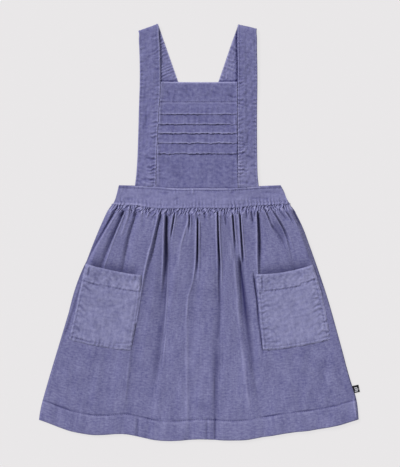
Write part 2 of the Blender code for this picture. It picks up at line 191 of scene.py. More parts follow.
def creases(lines, x, y):
    """How far a piece's creases lower its face."""
    depth = np.zeros_like(x)
    for line in lines:
        run_x, run_y = line.to_x - line.x, line.to_y - line.y
        length = math.hypot(run_x, run_y)
        along = ((x - line.x) * run_x + (y - line.y) * run_y) / length
        off = ((x - line.x) * run_y - (y - line.y) * run_x) / length
        taper = smooth((along / length + 0.15) / 0.35) * smooth((1.15 - along / length) / 0.35)
        depth += line.deep * taper * hill(off, line.wide)
    return depth


# --- Building cloth ------------------------------------------------------------------------


def cloth(node, grid, place, material):
    """A closed wall of cloth over a grid of columns and rows, in place of a plain form.

    place(across, down) takes arrays from 0 to 1 and returns the outer face and the inner face,
    as rows of x, y, z, then the cloth's own u, v and a tone for wear and painted light: 1 where
    the nap is rubbed pale and where highlights are painted, 0 where it is even, and -1 under the
    deepest painted shade in a fold, crease or gap.
    """
    form = bmesh.new()
    cut = form.loops.layers.uv.new("cut")
    wear_and_light_layer = form.verts.layers.float.new("wear_and_painted_light")
    number = form.verts.layers.int.new("number")
    bmesh.ops.create_grid(form, x_segments=grid[0], y_segments=grid[1], size=1.0)
    flat = np.array([vert.co[:2] for vert in form.verts])
    outer, inner, u, v, wear_and_painted_light = place((flat[:, 0] + 1.0) / 2.0, (1.0 - flat[:, 1]) / 2.0)
    wear_and_painted_light = np.clip(wear_and_painted_light, -1.0, 1.0)
    for index, vert in enumerate(form.verts):
        vert[wear_and_light_layer] = float(wear_and_painted_light[index])
        vert[number] = index
    for face in form.faces:
        for loop in face.loops:
            index = loop.vert[number]
            loop[cut].uv = (u[index] * MM, v[index] * MM)
    doubled = bmesh.ops.extrude_face_region(form, geom=form.faces[:], use_keep_orig=True)
    lining = {item for item in doubled["geom"] if isinstance(item, bmesh.types.BMVert)}
    for vert in form.verts:
        side = inner if vert in lining else outer
        vert.co = Vector(side[vert[number]]) * MM
    bmesh.ops.recalc_face_normals(form, faces=form.faces[:])
    if form.calc_volume(signed=True) < 0.0:
        bmesh.ops.reverse_faces(form, faces=form.faces[:])
    return joined(finished(node + "_cloth", form), material, node)


def finished(name, form):
    """An object from a bmesh, shaded smooth but for its rims."""
    mesh = bpy.data.meshes.new(name)
    form.to_mesh(mesh)
    form.free()
    mesh.shade_smooth()
    mesh.set_sharp_from_angle(angle=math.radians(RIM_ANGLE))
    piece = bpy.data.objects.new(name, mesh)
    bpy.context.scene.collection.objects.link(piece)
    return piece


def dress(piece, material):
    piece.data.materials.clear()
    piece.data.materials.append(material)


def joined(piece, material, node=None):
    """Gives a piece its finish, hangs it on the root body, and hides the plain form that it stands
    for.
    """
    dress(piece, material)
    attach(piece, "root")
    if node:
        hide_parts(node)
    return piece


def stack(x, y, z):
    return np.column_stack([x, y, z])


def faces_of(piece):
    form = bmesh.new()
    form.from_mesh(piece.data)
    tree = BVHTree.FromBMesh(form)
    form.free()
    return tree


def met_by(tree, x, y, start, towards):
    """Height where a sight line up or down through a place meets a piece."""
    hit = tree.ray_cast(Vector((x * MM, y * MM, start)), Vector((0.0, 0.0, towards)))[0]
    return hit.z / MM if hit else 0.0


def top_of(tree, x, y):
    return met_by(tree, x, y, ABOVE_DRESS, -1.0)


def foot_of(tree, x, y):
    return met_by(tree, x, y, BELOW_DRESS, 1.0)


def hump(x, y):
    """Rise of the front layer over the crossed straps."""
    across = fade((np.abs(x) - HUMP_FLAT) / (HUMP_REACH - HUMP_FLAT))
    along = smooth((HUMP_START - y) / (HUMP_START - HUMP_FULL))
    return HUMP_HEIGHT * across * along


def front_lay(x, y):
    """Underside of the bib and the bands."""
    shoulder = SHOULDER_LIFT * smooth((y - LIFT_FROM) / LIFT_RUN)
    sink = EDGE_SINK * smooth((np.abs(x) - SINK_FROM) / SINK_RUN)
    sink = sink * smooth((SINK_TOP - y) / SINK_TOP_RUN) * smooth((y - SINK_FOOT) / SINK_FOOT_RUN)
    return FRONT_REST + hump(x, y) + shoulder - sink


# --- Materials -----------------------------------------------------------------------------


class Shade:
    """One material and its nodes."""

    def __init__(self, name):
        self.material = bpy.data.materials.new(name)
        self.material.use_nodes = True
        self.tree = self.material.node_tree
        self.shader = self.tree.nodes["Principled BSDF"]

    def node(self, kind, settings, inputs, out=0):
        """Adds a node: its settings first, then the values or links of its sockets."""
        made = self.tree.nodes.new(kind)
        for key, value in settings.items():
            setattr(made, key, value)
        for socket, value in inputs.items():
            self.feed(made.inputs[socket], value)
        return Wire(self, made.outputs[out])

    def feed(self, socket, value):
        if isinstance(value, Wire):
            self.tree.links.new(value.socket, socket)
        else:
            socket.default_value = value

    def maths(self, operation, *values):
        return self.node("ShaderNodeMath", {"operation": operation}, dict(enumerate(values)))

    def limited(self, value):
        """A value held between 0 and 1."""
        return self.node("ShaderNodeClamp", {}, {"Value": value})

    def mix(self, share, first, second):
        """Mixes two colours."""
        colours = {0: share, 6: first, 7: second}
        return self.node("ShaderNodeMix", {"data_type": "RGBA"}, colours, out=2)

    def cut(self):
        """The cloth's own coordinates, across and along its ribs, in metres."""
        return self.node("ShaderNodeUVMap", {"uv_map": "cut"}, {})

    def place(self):
        """A piece's place in the dress, in metres."""
        return self.node("ShaderNodeTexCoord", {}, {}, out=3)

    def attribute(self, name):
        return self.node("ShaderNodeAttribute", {"attribute_name": name}, {}, out=2)

    def noise(self, coordinates, across, along, detail=2.0, roughness=0.5):
        """Noise with so many features to the metre across and along the ribs."""
        stretched = {"Vector": coordinates, "Scale": (across, along, across)}
        scaled = self.node("ShaderNodeMapping", {}, stretched)
        levels = {"Vector": scaled, "Scale": 1.0, "Detail": detail, "Roughness": roughness}
        return self.node("ShaderNodeTexNoise", {}, levels)

    def spread(self, value, low, high):
        """Stretches a value between two limits to 0 and 1."""
        limits = {"Value": value, "From Min": low, "From Max": high}
        return self.node("ShaderNodeMapRange", {}, limits)

    def bump(self, height, distance, strength):
        relief = {"Height": height, "Distance": distance, "Strength": strength}
        return self.node("ShaderNodeBump", {}, relief)

    def surface(self, inputs):
        for name, value in inputs.items():
            self.feed(self.shader.inputs[name], value)
        return self.material


class Wire:
    """A socket that takes part in arithmetic."""

    def __init__(self, shade, socket):
        self.shade = shade
        self.socket = socket

    def __add__(self, other):
        return self.shade.maths("ADD", self, other)

    def __mul__(self, other):
        return self.shade.maths("MULTIPLY", self, other)

    __radd__ = __add__
    __rmul__ = __mul__


def shade_of(red, green, blue):
    """A colour from its 0 to 255 screen values."""

    def linear(value):
        value /= 255.0
        return value / 12.92 if value <= 0.04045 else ((value + 0.055) / 1.055) ** 2.4

    return (linear(red), linear(green), linear(blue), 1.0)


# Tones that the wear and light attribute mixes in: paler for rubbed nap and painted highlights,
# darker for painted shade in folds, creases and gaps
DYE_AND_PAINTED_SHADE = shade_of(43, 41, 88)
RUBBED_AND_LIT = shade_of(166, 165, 204)


def needlecord(name, dark, light, grain):
    """Brushed needlecord: fine ribs and a mottled nap, paler where rubbed and where highlights
    are painted, darker where shade is painted in folds, creases and gaps.
    """
    cord = Shade(name)
    dark, light = shade_of(*dark), shade_of(*light)
    cut = cord.cut()
    wear_and_painted_light = cord.attribute("wear_and_painted_light")
    across = cord.node("ShaderNodeSeparateXYZ", {}, {"Vector": cut})
    wander = cord.noise(cut, 60.0, 14.0)
    rib = cord.maths("SINE", across * (2.0 * math.pi / (WALE * MM)) + wander * 3.0) * 0.5 + 0.5
    patch = cord.noise(cut, grain[0], grain[1], 2.5, 0.6)
    fleck = cord.noise(cut, 520.0, 430.0, 1.0)
    streak = cord.noise(cut, 330.0, 26.0, 2.0, 0.6)
    cloud = cord.noise(cut, 55.0, 38.0, 2.0)
    tone = cord.spread(patch * 0.5 + fleck * 0.16 + streak * 0.18 + cloud * 0.16, 0.38, 0.62)
    base = cord.mix(tone, dark, light)
    base = cord.mix(rib * 0.14, base, dark)
    # Painted highlights and rubbed nap pale the cloth, painted shade darkens it
    base = cord.mix(cord.limited(wear_and_painted_light) * 0.75, base, RUBBED_AND_LIT)
    base = cord.mix(cord.limited(wear_and_painted_light * -1.0), base, DYE_AND_PAINTED_SHADE)
    return cord.surface(
        {
            "Base Color": base,
            "Roughness": 0.92,
            "Specular IOR Level": 0.1,
            "Sheen Weight": 0.15,
            "Sheen Roughness": 0.5,
            "Sheen Tint": (0.8, 0.8, 1.0, 1.0),
            "Normal": cord.bump(rib * 0.5 + patch * 0.9 + fleck * 0.4, 0.0004, 0.6),
        }
    )


def spun(name, dark, light, fineness, finish, relief=True):
    """Thread or ribbon: a fine twist of two tones, with so many turns to the metre."""
    yarn = Shade(name)
    twist = yarn.noise(yarn.place(), fineness, fineness)
    surface = {"Base Color": yarn.mix(twist, shade_of(*dark), shade_of(*light)), **finish}
    if relief:
        surface["Normal"] = yarn.bump(twist, 0.0001, 0.6)
    return yarn.surface(surface)


SKIRT_CORD = needlecord("skirt_needlecord", (97, 96, 141), (136, 136, 174), (170.0, 360.0))
BAND_CORD = needlecord("band_needlecord", (92, 91, 137), (126, 126, 167), (170.0, 230.0))
POCKET_CORD = needlecord("pocket_needlecord", (112, 112, 153), (145, 145, 182), (180.0, 200.0))
THREAD = spun("thread", (104, 102, 150), (150, 149, 192), 2600.0, {"Roughness": 0.75})


# --- Stitching -----------------------------------------------------------------------------

STITCH_PITCH, STITCH_LENGTH, STITCH_WIDTH, STITCH_HEIGHT = 3.2, 2.3, 0.6, 0.45
STITCH_LIFT = 0.1  # how far a stitch's middle lies over the face that it is sewn through
LONGEST_STITCH = 1.5 * STITCH_LENGTH  # a longer one would span a gap


def along_route(route):
    """Reads a route of (x, y) points at distances along it, and gives its length."""
    points = np.array(route, float)
    reached = measured(np.hypot(np.diff(points[:, 0]), np.diff(points[:, 1])))

    def read(at):
        return np.interp(at, reached, points[:, 0]), np.interp(at, reached, points[:, 1])

    return read, reached[-1]


def stitching(cloth_piece, above=(), below=()):
    """Rows of short stitches on a piece's upper and lower faces, joined into one mesh."""
    tree = faces_of(cloth_piece)
    form = bmesh.new()
    sides = ((above, top_of, STITCH_LIFT), (below, foot_of, STITCH_HEIGHT / 2.0))
    for routes, level, lift in sides:
        for route in routes:
            read, length = along_route(route)
            count = max(int(length / STITCH_PITCH), 1)
            for middle in (np.arange(count) + 0.5) * length / count:
                ends = []
                for at in (middle - STITCH_LENGTH / 2.0, middle + STITCH_LENGTH / 2.0):
                    x, y = read(at)
                    ends.append(Vector((x, y, level(tree, x, y) + lift)))
                run = ends[1] - ends[0]
                if run.length > LONGEST_STITCH:
                    continue
                bead = bmesh.ops.create_icosphere(form, subdivisions=1, radius=0.5)["verts"]
                size = (STITCH_LENGTH, STITCH_WIDTH, STITCH_HEIGHT)
                turn = run.to_track_quat("X", "Z").to_matrix()
                bmesh.ops.scale(form, verts=bead, vec=size)
                bmesh.ops.rotate(form, verts=bead, matrix=turn)
                bmesh.ops.translate(form, verts=bead, vec=(ends[0] + ends[1]) / 2.0)
    bmesh.ops.scale(form, verts=form.verts[:], vec=(MM, MM, MM))
    piece = finished(cloth_piece.name.replace("_cloth", "_stitches"), form)
    return joined(piece, THREAD).name


# --- Pockets' plan -------------------------------------------------------------------------

# A pocket's middle, its turn in degrees, its widths and depth, how far its mouth sags and its
# right side bows out, the step in its band's stitches, how far its right corner is pulled down,
# how strongly it puckers, and how much paler it is
Pocket = namedtuple(
    "Pocket", "name x y turn mouth bottom depth sag bow jog corner puckered pale seed"
)
POCKETS = table(
    Pocket,
    ("pocket_left", -139, -111.6, -10.3, 85, 94, 117, 2.6, 2.6, 0, 1.7, 0.25, 0, 61),
    ("pocket_right", 136.8, -112.3, 9.5, 87, 102, 116, 4, 3.6, 3.2, 0, 0.6, 0.1, 71),
)
POCKET_BAND = 25.0
POCKET_BAND_SEAM = POCKET_BAND + 0.4
POCKET_BOTTOM_BOW = 1.8
POCKET_CORNER_LIFT = 1.6  # its foot's corners are rounded by this much
POCKET_SIDE_SEAM, POCKET_FOOT_SEAM = 4.6, 5.0


def pocket_half(pocket, down):
    """Half of a pocket's width at a share of its depth."""
    return 0.5 * (pocket.mouth + (pocket.bottom - pocket.mouth) * down)


def pocket_plan(pocket, across, down):
    """Plan position on a pocket; across runs -1 to 1, down 0 to 1."""
    turn = math.radians(pocket.turn)
    bow = pocket.sag * (1.0 - down) + POCKET_BOTTOM_BOW * down
    side_bow = np.where(across > 0.0, pocket.bow, 0.0) * 4.0 * down * (1.0 - down)
    local_x = across * (pocket_half(pocket, down) + side_bow * np.abs(across))
    local_y = pocket.depth * (0.5 - down) - bow * (1.0 - across * across)
    local_y += POCKET_CORNER_LIFT * across**10 * smooth((down - 0.9) / 0.1)
    pulled = pocket.corner * smooth((across + 0.2) / 1.2) * fade(down / 0.6)
    local_x, local_y = local_x + 0.8 * pulled, local_y - pulled
    x = pocket.x + local_x * math.cos(turn) - local_y * math.sin(turn)
    y = pocket.y + local_x * math.sin(turn) + local_y * math.cos(turn)
    return x, y


def pocket_band(pocket, across):
    """How deep a pocket's turned band is; its stitched line may step up near one end."""
    return POCKET_BAND_SEAM - pocket.jog * smooth((across - 0.42) / 0.07)


def pocket_seams(pocket):
    """Routes of a pocket's stitches: round its sides and foot, and along its band."""
    down = np.linspace(0.02, 1.0 - POCKET_FOOT_SEAM / pocket.depth, 60)
    inset = 1.0 - POCKET_SIDE_SEAM / pocket_half(pocket, down)
    foot = np.linspace(-inset[-1], inset[-1], 40)
    round_x = np.concatenate([-inset, foot, inset[::-1]])
    round_y = np.concatenate([down, np.full_like(foot, down[-1]), down[::-1]])
    along = np.linspace(-0.96, 0.96, 60)
    band = (along, pocket_band(pocket, along) / pocket.depth)
    return [np.column_stack(pocket_plan(pocket, *route)) for route in ((round_x, round_y), band)]


def pocket_shares(pocket, x, y):
    """Where a plan position lies on a pocket: across -1 to 1, and millimetres below its mouth."""
    turn = math.radians(pocket.turn)
    local_x = (x - pocket.x) * math.cos(turn) + (y - pocket.y) * math.sin(turn)
    local_y = -(x - pocket.x) * math.sin(turn) + (y - pocket.y) * math.cos(turn)
    across = local_x / (0.5 * pocket.mouth)
    bow = pocket.sag * (1.0 - np.clip(across, -1.0, 1.0) ** 2)
    return across, pocket.depth / 2.0 - local_y - bow


# --- Skirt ---------------------------------------------------------------------------------

SideRow = namedtuple("SideRow", "y left right")
SKIRT_SIDES = table(
    SideRow,
    (-284, -239.8, 239.2), (-270, -238, 238.2), (-256, -235, 236.6), (-242, -231.2, 233.4),
    (-228, -227.2, 228.6), (-169, -209.6, 212.2), (-94, -186.4, 190.9), (-49, -170.3, 175.8),
    (-19, -159, 165.1), (11, -146.6, 153.6), (26, -139.8, 146.2), (33.5, -136, 142.4),
    (41, -130.4, 136.4),
)
BACK_PEEK = 1.0  # the back panel shows this much past the front's sides
BACK_STEP = 0.8  # the back's waist seams lie this much higher than the front's
HEM_EDGE = (
    (-239, -281.8), (-232, -284.6), (-214.5, -291.4), (-196.5, -297.3), (-178.5, -301.3),
    (-160.5, -304), (-142.5, -303.9), (-124.5, -302.6), (-106.5, -303.4), (-88.5, -307.1),
    (-70.5, -311.1), (-52.5, -312.9), (-34.5, -312.9), (-16.5, -311.6), (1.5, -310.6),
    (19.5, -311.2), (37.5, -312.2), (55.5, -312.2), (73.5, -311.3), (91.5, -308.1),
    (109.5, -305.4), (127.5, -302.3), (145.5, -299.8), (163.5, -298), (181.5, -295.2),
    (199.5, -292.2), (217.5, -288.3), (239, -281),
)
WAIST_SEAM = (
    (-134, 42.6), (-120, 41.4), (-92, 40.6), (-78, 38), (0, 37), (58, 37.4), (78, 40),
    (110, 41.4), (139, 43.4),
)

# Troughs of the gathers. The first five columns are where each runs across the dress at the
# waist, the thigh, the hip, the knee and the hem. Then its depth, where it starts and ends below
# the waist, how wide its left and right walls are, how dark the painted shade at its bottom is,
# and the soft valley that goes on to the hem: its depth and half width. A steep wall has a
# raised lip beside it.
FOLD_HEIGHTS = (37.0, 0.0, -50.0, -165.0, -300.0)
STEEP_WALL = 2.0  # a narrower wall is a steep one
LIP_SHIFT, LIP_WIDTH = 1.4, 1.2
DEEPEST = 9.0  # a fold of this depth has a lip of full height
Fold = namedtuple("Fold", "waist thigh hip knee hem deep start end left right dark soft spread")
FRONT_FOLDS = table(
    Fold,
    (-122.6, -144, -172.5, -205.5, -228, 5, 1, 124, 3, 2, 0.58, 0, 5),
    (-109.5, -126, -145.5, -177.5, -203, 5.2, 6, 104, 3.2, 1.7, 0.20, 0.3, 9),
    (-91, -103, -112.6, -136.5, -160.5, 4.5, 6, 110, 2.3, 5, 0.10, 0.3, 10),
    (-77, -85.5, -94.5, -112.5, -135, 3, 4, 14, 1.6, 1.9, 0.22, 0, 6),
    (-55.6, -64, -74.4, -95.3, -113, 6, 4, 92, 1.7, 3, 0.15, 2, 9),
    (-48.6, -49.8, -50.2, -61.5, -82, 9.5, 7, 122, 1.7, 3.6, 0.80, 0, 8),
    (-46, -46.6, -48, -57.6, -79, 5.5, 76, 200, 3.4, 1.5, 0.34, 2.3, 10),
    (-34.6, -41, -44.4, -50, -60, 6, 4, 44, 1.1, 1.1, 0.55, 0, 5),
    (-14.2, -15.2, -19.5, -30, -36, 5.5, 8, 34, 1.1, 1.3, 0.50, 0.3, 6),
    (-2, -2.1, -3, -14.5, -14.5, 10, 15, 94, 1.1, 1.3, 1, 1.8, 8),
    (27.8, 28.5, 30.6, 27.5, 24.8, 10, 3, 98, 1.1, 1.1, 0.9, 1.8, 7),
    (49.5, 52.2, 57.5, 74, 91.5, 7, 6, 60, 1.1, 1.4, 0.60, 0, 6),
    (55, 57.2, 62.4, 75.4, 97, 8.8, 73, 262, 2.6, 3.2, 0.86, 1.4, 7),
    (60.3, 62.8, 66.8, 84, 103, 7.6, 8, 92, 1.1, 1.2, 0.66, 0, 6),
    (87, 89, 90.4, 106.5, 130.5, 8.5, 7, 108, 1.1, 3.6, 0.42, 0, 6),
    (98, 114, 137.5, 159, 178.5, 3.2, 0, 40, 1.2, 1.4, 0.25, 0, 6),
    (108.5, 130, 143, 177, 205, 4.4, 0, 64, 1.8, 1.3, 0.28, 0.3, 8),
    (127.5, 149.5, 166, 198, 224, 3.6, 0, 30, 1.4, 1.4, 0.30, 0, 6),
)
SKIRT_CREASES = table(
    Crease,
    (-112.5, 33, -117, 24, 2.5, 1.8), (-94, 36, -98, 24, 2.2, 1.5),
    (-82, 36, -85, 26, -1.2, 1.5), (-66, 33, -70, 18, 1.6, 1.5), (-41, 34, -43, 24, 2, 1.3),
    (-25, 34, -25.5, 25, 1.6, 1.3), (8, 34, 9, 20, 1.6, 1.3), (17, 34, 18, 24, 1.8, 1.3),
    (37.2, 32, 40.8, 12, 2, 1.3), (70.2, 38, 72, 21, 2, 1.3), (77.2, 38, 81, 14, 2.2, 1.3),
    (82, 37, 84, 24, 1.6, 1.3), (109.5, 11, 119, -2, 2, 1.9), (119, -2, 128.5, -17, 1.6, 2.2),
    (118, 36, 131, 20, 1.6, 1.5), (141, 34, 152, 11, 2.4, 1.5), (116, 16, 130, -8, 1.2, 6),
    (-73.5, -22, -79.5, -48, -1.4, 1.2), (-79.5, -48, -83.5, -70, -1.5, 1.2),
    (-83.5, -70, -88.3, -98, -1.3, 1.4), (-88.3, -98, -94.6, -138, -1.3, 1.3),
    (-105.5, 27, -116, -4, -0.9, 1.4), (-122.2, 30, -160, -31.5, -0.9, 1.2),
    (-15.6, 20, -27.6, -20, -1.2, 1.3), (-27.6, -20, -30, -44, -0.5, 1.5),
    (-5.5, -44, -9.5, -75, -1.1, 1.1), (-9.5, -75, -16.5, -95, -1.1, 1.1),
    (-16.5, -95, -18.8, -130, -0.8, 1.5), (-18, -124, -18, -292, -0.9, 2.8),
    (34.2, -44, 33.6, -78, -0.9, 1.2), (47.2, -14, 49.2, -40, -0.8, 2.6),
    (52.8, -38, 57, -90, -0.9, 1.8), (57, -90, 60.5, -142, -0.8, 2),
    (-51.5, -150, -57, -200, 0.5, 1), (-49, -148, -53.5, -196, -0.5, 1.1),
    (31.5, -135, 31, -220, 0.5, 1), (36, -148, 35.5, -205, 0.4, 1),
    (-102.5, -172, -111, -255, -0.5, 1.8), (63.5, -162, 74.5, -262, -0.8, 2.2),
    (26.5, -150, 25, -300, 1, 4), (24, -218, 24, -252, 0.7, 1.1),
    (24.2, -276, 24.3, -312, 1.5, 1.2), (12, -280, 12, -311, 0.9, 1.3),
    (-92, -276, -92.5, -306, 1.8, 1.3), (30.5, -62, 31.3, -112, 1.6, 1.6),
    (31.5, -112, 28, -160, 1.2, 2.6), (232, -250, 236, -277, -1.8, 1),
    (235, -249, 239.2, -278, 0.9, 0.6), (-58, -135, -66, -222, 0.9, 4),
    (81.8, -63, 87.2, -101, 3, 1.2), (87.2, -101, 89.8, -133, 2.6, 1.2),
    (89.8, -133, 96.4, -178, 2.2, 1.3), (-171, -60, -202, -158, 1.6, 2.2),
    (-135.5, 30, -157, -16, 0.9, 4.2),
)


def skirt_side(side, y, peek):
    edge = curve([(row.y, getattr(row, side)) for row in SKIRT_SIDES], y)
    return edge + np.sign(edge) * peek


def fold_path(fold, y):
    """Across position of a fold at some heights."""
    places = (fold.hem, fold.knee, fold.hip, fold.thigh, fold.waist)
    return curve(list(zip(reversed(FOLD_HEIGHTS), places)), y)


class Panel:
    """A gathered skirt panel: its grid lines run down along its folds."""

    def __init__(self, folds, crowd, crowd_width, peek=0.0, step=0.0):
        self.folds = folds
        self.peek = peek
        self.step = step
        left, right = self.ends(np.array([FOLD_HEIGHTS[0]]))
        waist = np.array([left[0]] + [fold.waist for fold in folds] + [right[0]])
        self.stops = (waist - waist[0]) / (waist[-1] - waist[0])
        at = np.linspace(0.0, 1.0, 2001)
        pull = np.ones_like(at)
        for stop in self.stops[1:-1]:
            pull += crowd * hill((at - stop) * (waist[-1] - waist[0]), crowd_width)
        self.columns = (pull, at)

    def ends(self, y):
        return skirt_side("left", y, self.peek), skirt_side("right", y, self.peek)

    def line(self, across):
        """Share of the waist for a grid column, crowded at the folds."""
        return crowded(across, *self.columns)

    def x_at(self, share, y):
        """Across position of a line of the panel at a height."""
        left, right = self.ends(y)
        lines = np.array([left] + [fold_path(fold, y) for fold in self.folds] + [right])
        span = np.clip(np.searchsorted(self.stops, share, side="right") - 1, 0, len(self.stops) - 2)
        part = (share - self.stops[span]) / (self.stops[span + 1] - self.stops[span])
        pick = np.arange(len(share))
        return lines[span, pick] * (1.0 - part) + lines[span + 1, pick] * part

    def plan(self, share, down):
        """x, y, distance below the waist and above the hem, for lines at shares of their length."""
        waist_x = self.x_at(share, np.full_like(share, FOLD_HEIGHTS[0]))
        hem_x = self.x_at(share, np.full_like(share, FOLD_HEIGHTS[-1]))
        waist_y = curve(WAIST_SEAM, waist_x) - SEAM_GAP + self.step
        hem_y = curve(HEM_EDGE, hem_x)
        y = waist_y + (hem_y - waist_y) * down
        return self.x_at(share, y), y, (waist_y - hem_y) * down, y - hem_y

    def cut(self, share, down):
        """The cloth's own coordinates: even across the hem."""
        hem_x = self.x_at(share, np.full_like(share, FOLD_HEIGHTS[-1]))
        u = (hem_x - hem_x.min()) / (hem_x.max() - hem_x.min()) * CUT_WIDTH
        return u, -down * CUT_LENGTH

    def widening(self, fold, below):
        """How a fold's walls spread on the way down."""
        return 0.8 + 0.8 * smooth((below - fold.start) / 110.0)

    def troughs(self, x, y, below):
        """Depth of the sharp folds and of the soft valleys under the face, and the painted shade
        at the folds' bottoms.
        """
        sharp, soft, dark = np.zeros_like(x), np.zeros_like(x), np.zeros_like(x)
        for number, fold in enumerate(self.folds):
            away = x - fold_path(fold, y)
            opening = smooth((below - fold.start + 2.0) / (5.0 + 0.04 * fold.end))
            closing = fade((below - 0.45 * fold.end) / (0.7 * fold.end))
            wall = np.where(away < 0.0, fold.left, fold.right)
            steepness = np.where(wall < STEEP_WALL, 2.4, 1.5)
            wall = wall * self.widening(fold, below)
            shape = opening * closing * np.exp(-((np.abs(away) / wall) ** steepness))
            sharp = np.maximum(sharp, fold.deep * shape)
            # Painted shade at the fold's bottom
            dark = np.maximum(dark, fold.dark * shape)
            if fold.soft:
                lasting = smooth((below - 35.0) / 50.0)
                lasting = lasting * (1.0 - 0.4 * smooth((below - 150.0) / 180.0))
                uneven = 1.0 + 0.25 * ripple(y, 90.0, 100 + number)
                half = 2.0 * fold.spread * np.where(away < 0.0, fold.left, fold.right)
                half = half / (fold.left + fold.right)
                soft += fold.soft * lasting * uneven * hill(away, half)
        return sharp, soft, dark

    def lips(self, x, y, below):
        """Raised lips beside the folds, 0 to about 1."""
        rise = np.zeros_like(x)
        for fold in self.folds:
            away = x - fold_path(fold, y)
            ending = fade((below - 0.6 * fold.end) / (0.7 * fold.end))
            near = smooth((below - fold.start + 1.0) / 10.0) * ending
            grown = self.widening(fold, below)
            for side, wall in ((-1.0, fold.left), (1.0, fold.right)):
                if wall < STEEP_WALL:
                    beside = away - side * (wall * grown + LIP_SHIFT)
                    rise += fold.deep / DEEPEST * near * hill(beside, LIP_WIDTH)
        return rise


ROW_LENGTH = 345.0  # from the waist seam to the hem
HEM_SEAM_END = 228.0  # how far the hem's stitches run from the middle
HEM_SEAM_DROP = 0.2  # and how far below the hem's upper edge


def skirt_row(share):
    """Place of a grid row, crowded at the waist, at the hem's stitched line and at its edge."""
    down = np.linspace(0.0, 1.0, 3001)
    below = down * ROW_LENGTH
    above_hem = ROW_LENGTH - below
    crowd = 0.22 + 0.9 * fade((below - 8.0) / 26.0) + 0.3 * fade((below - 30.0) / 60.0)
    crowd += 0.9 * hill(above_hem - HEM_DEPTH, 5.0) + 0.9 * hill(above_hem, 3.0)
    return crowded(share, crowd, down)


def hem_seam():
    """Route of the stitches that hold the turned hem."""
    x = np.linspace(-HEM_SEAM_END, HEM_SEAM_END, 200)
    return np.column_stack([x, curve(HEM_EDGE, x) + HEM_DEPTH - HEM_SEAM_DROP])


def pocket_dips(x, y):
    """How far the skirt falls away at the pockets' mouths."""
    dip = np.zeros_like(x)
    for pocket in POCKETS:
        across, below_mouth = pocket_shares(pocket, x, y)
        wide = np.where(below_mouth < 0.0, 9.5, 16.0)
        dip += hill(below_mouth, wide) * smooth((1.02 - np.abs(across)) / 0.35)
    return dip


def crimped(position, below, seed):
    """The fine crimps and the longer pulls under the waist seam, -1 in a gap to 1 on a ridge."""
    lean = 0.3 * below + 1.5 * ripple(position, 19.0, seed + 1)
    drift = ripple(below + 0.5 * position, 8.0, seed + 2) * smooth(below / 3.0)
    phase = 0.5 * ripple(position, 23.0, seed) + 0.3 * drift
    fine = np.cos(2.0 * np.pi * ((position + lean) / CRIMP_PITCH + phase))
    strength = np.clip(0.85 + 0.5 * mottle(position, 1.2 * below, 9.0, seed + 3), 0.2, 1.4)
    reach = 8.0 + 4.5 * ripple(position, 13.0, seed + 4)
    fine = fine * strength * smooth(below / 1.0 + 0.3) * fade((below - 6.0) / reach)
    long_reach = 22.0 + 10.0 * ripple(position, 21.0, seed + 5)
    pulls = ripple(position - 0.6 * lean, 9.0, seed + 6, 0.3, 4)
    pulls = pulls * smooth((below - 1.0) / 6.0) * fade((below - 7.0) / long_reach)
    return fine, pulls


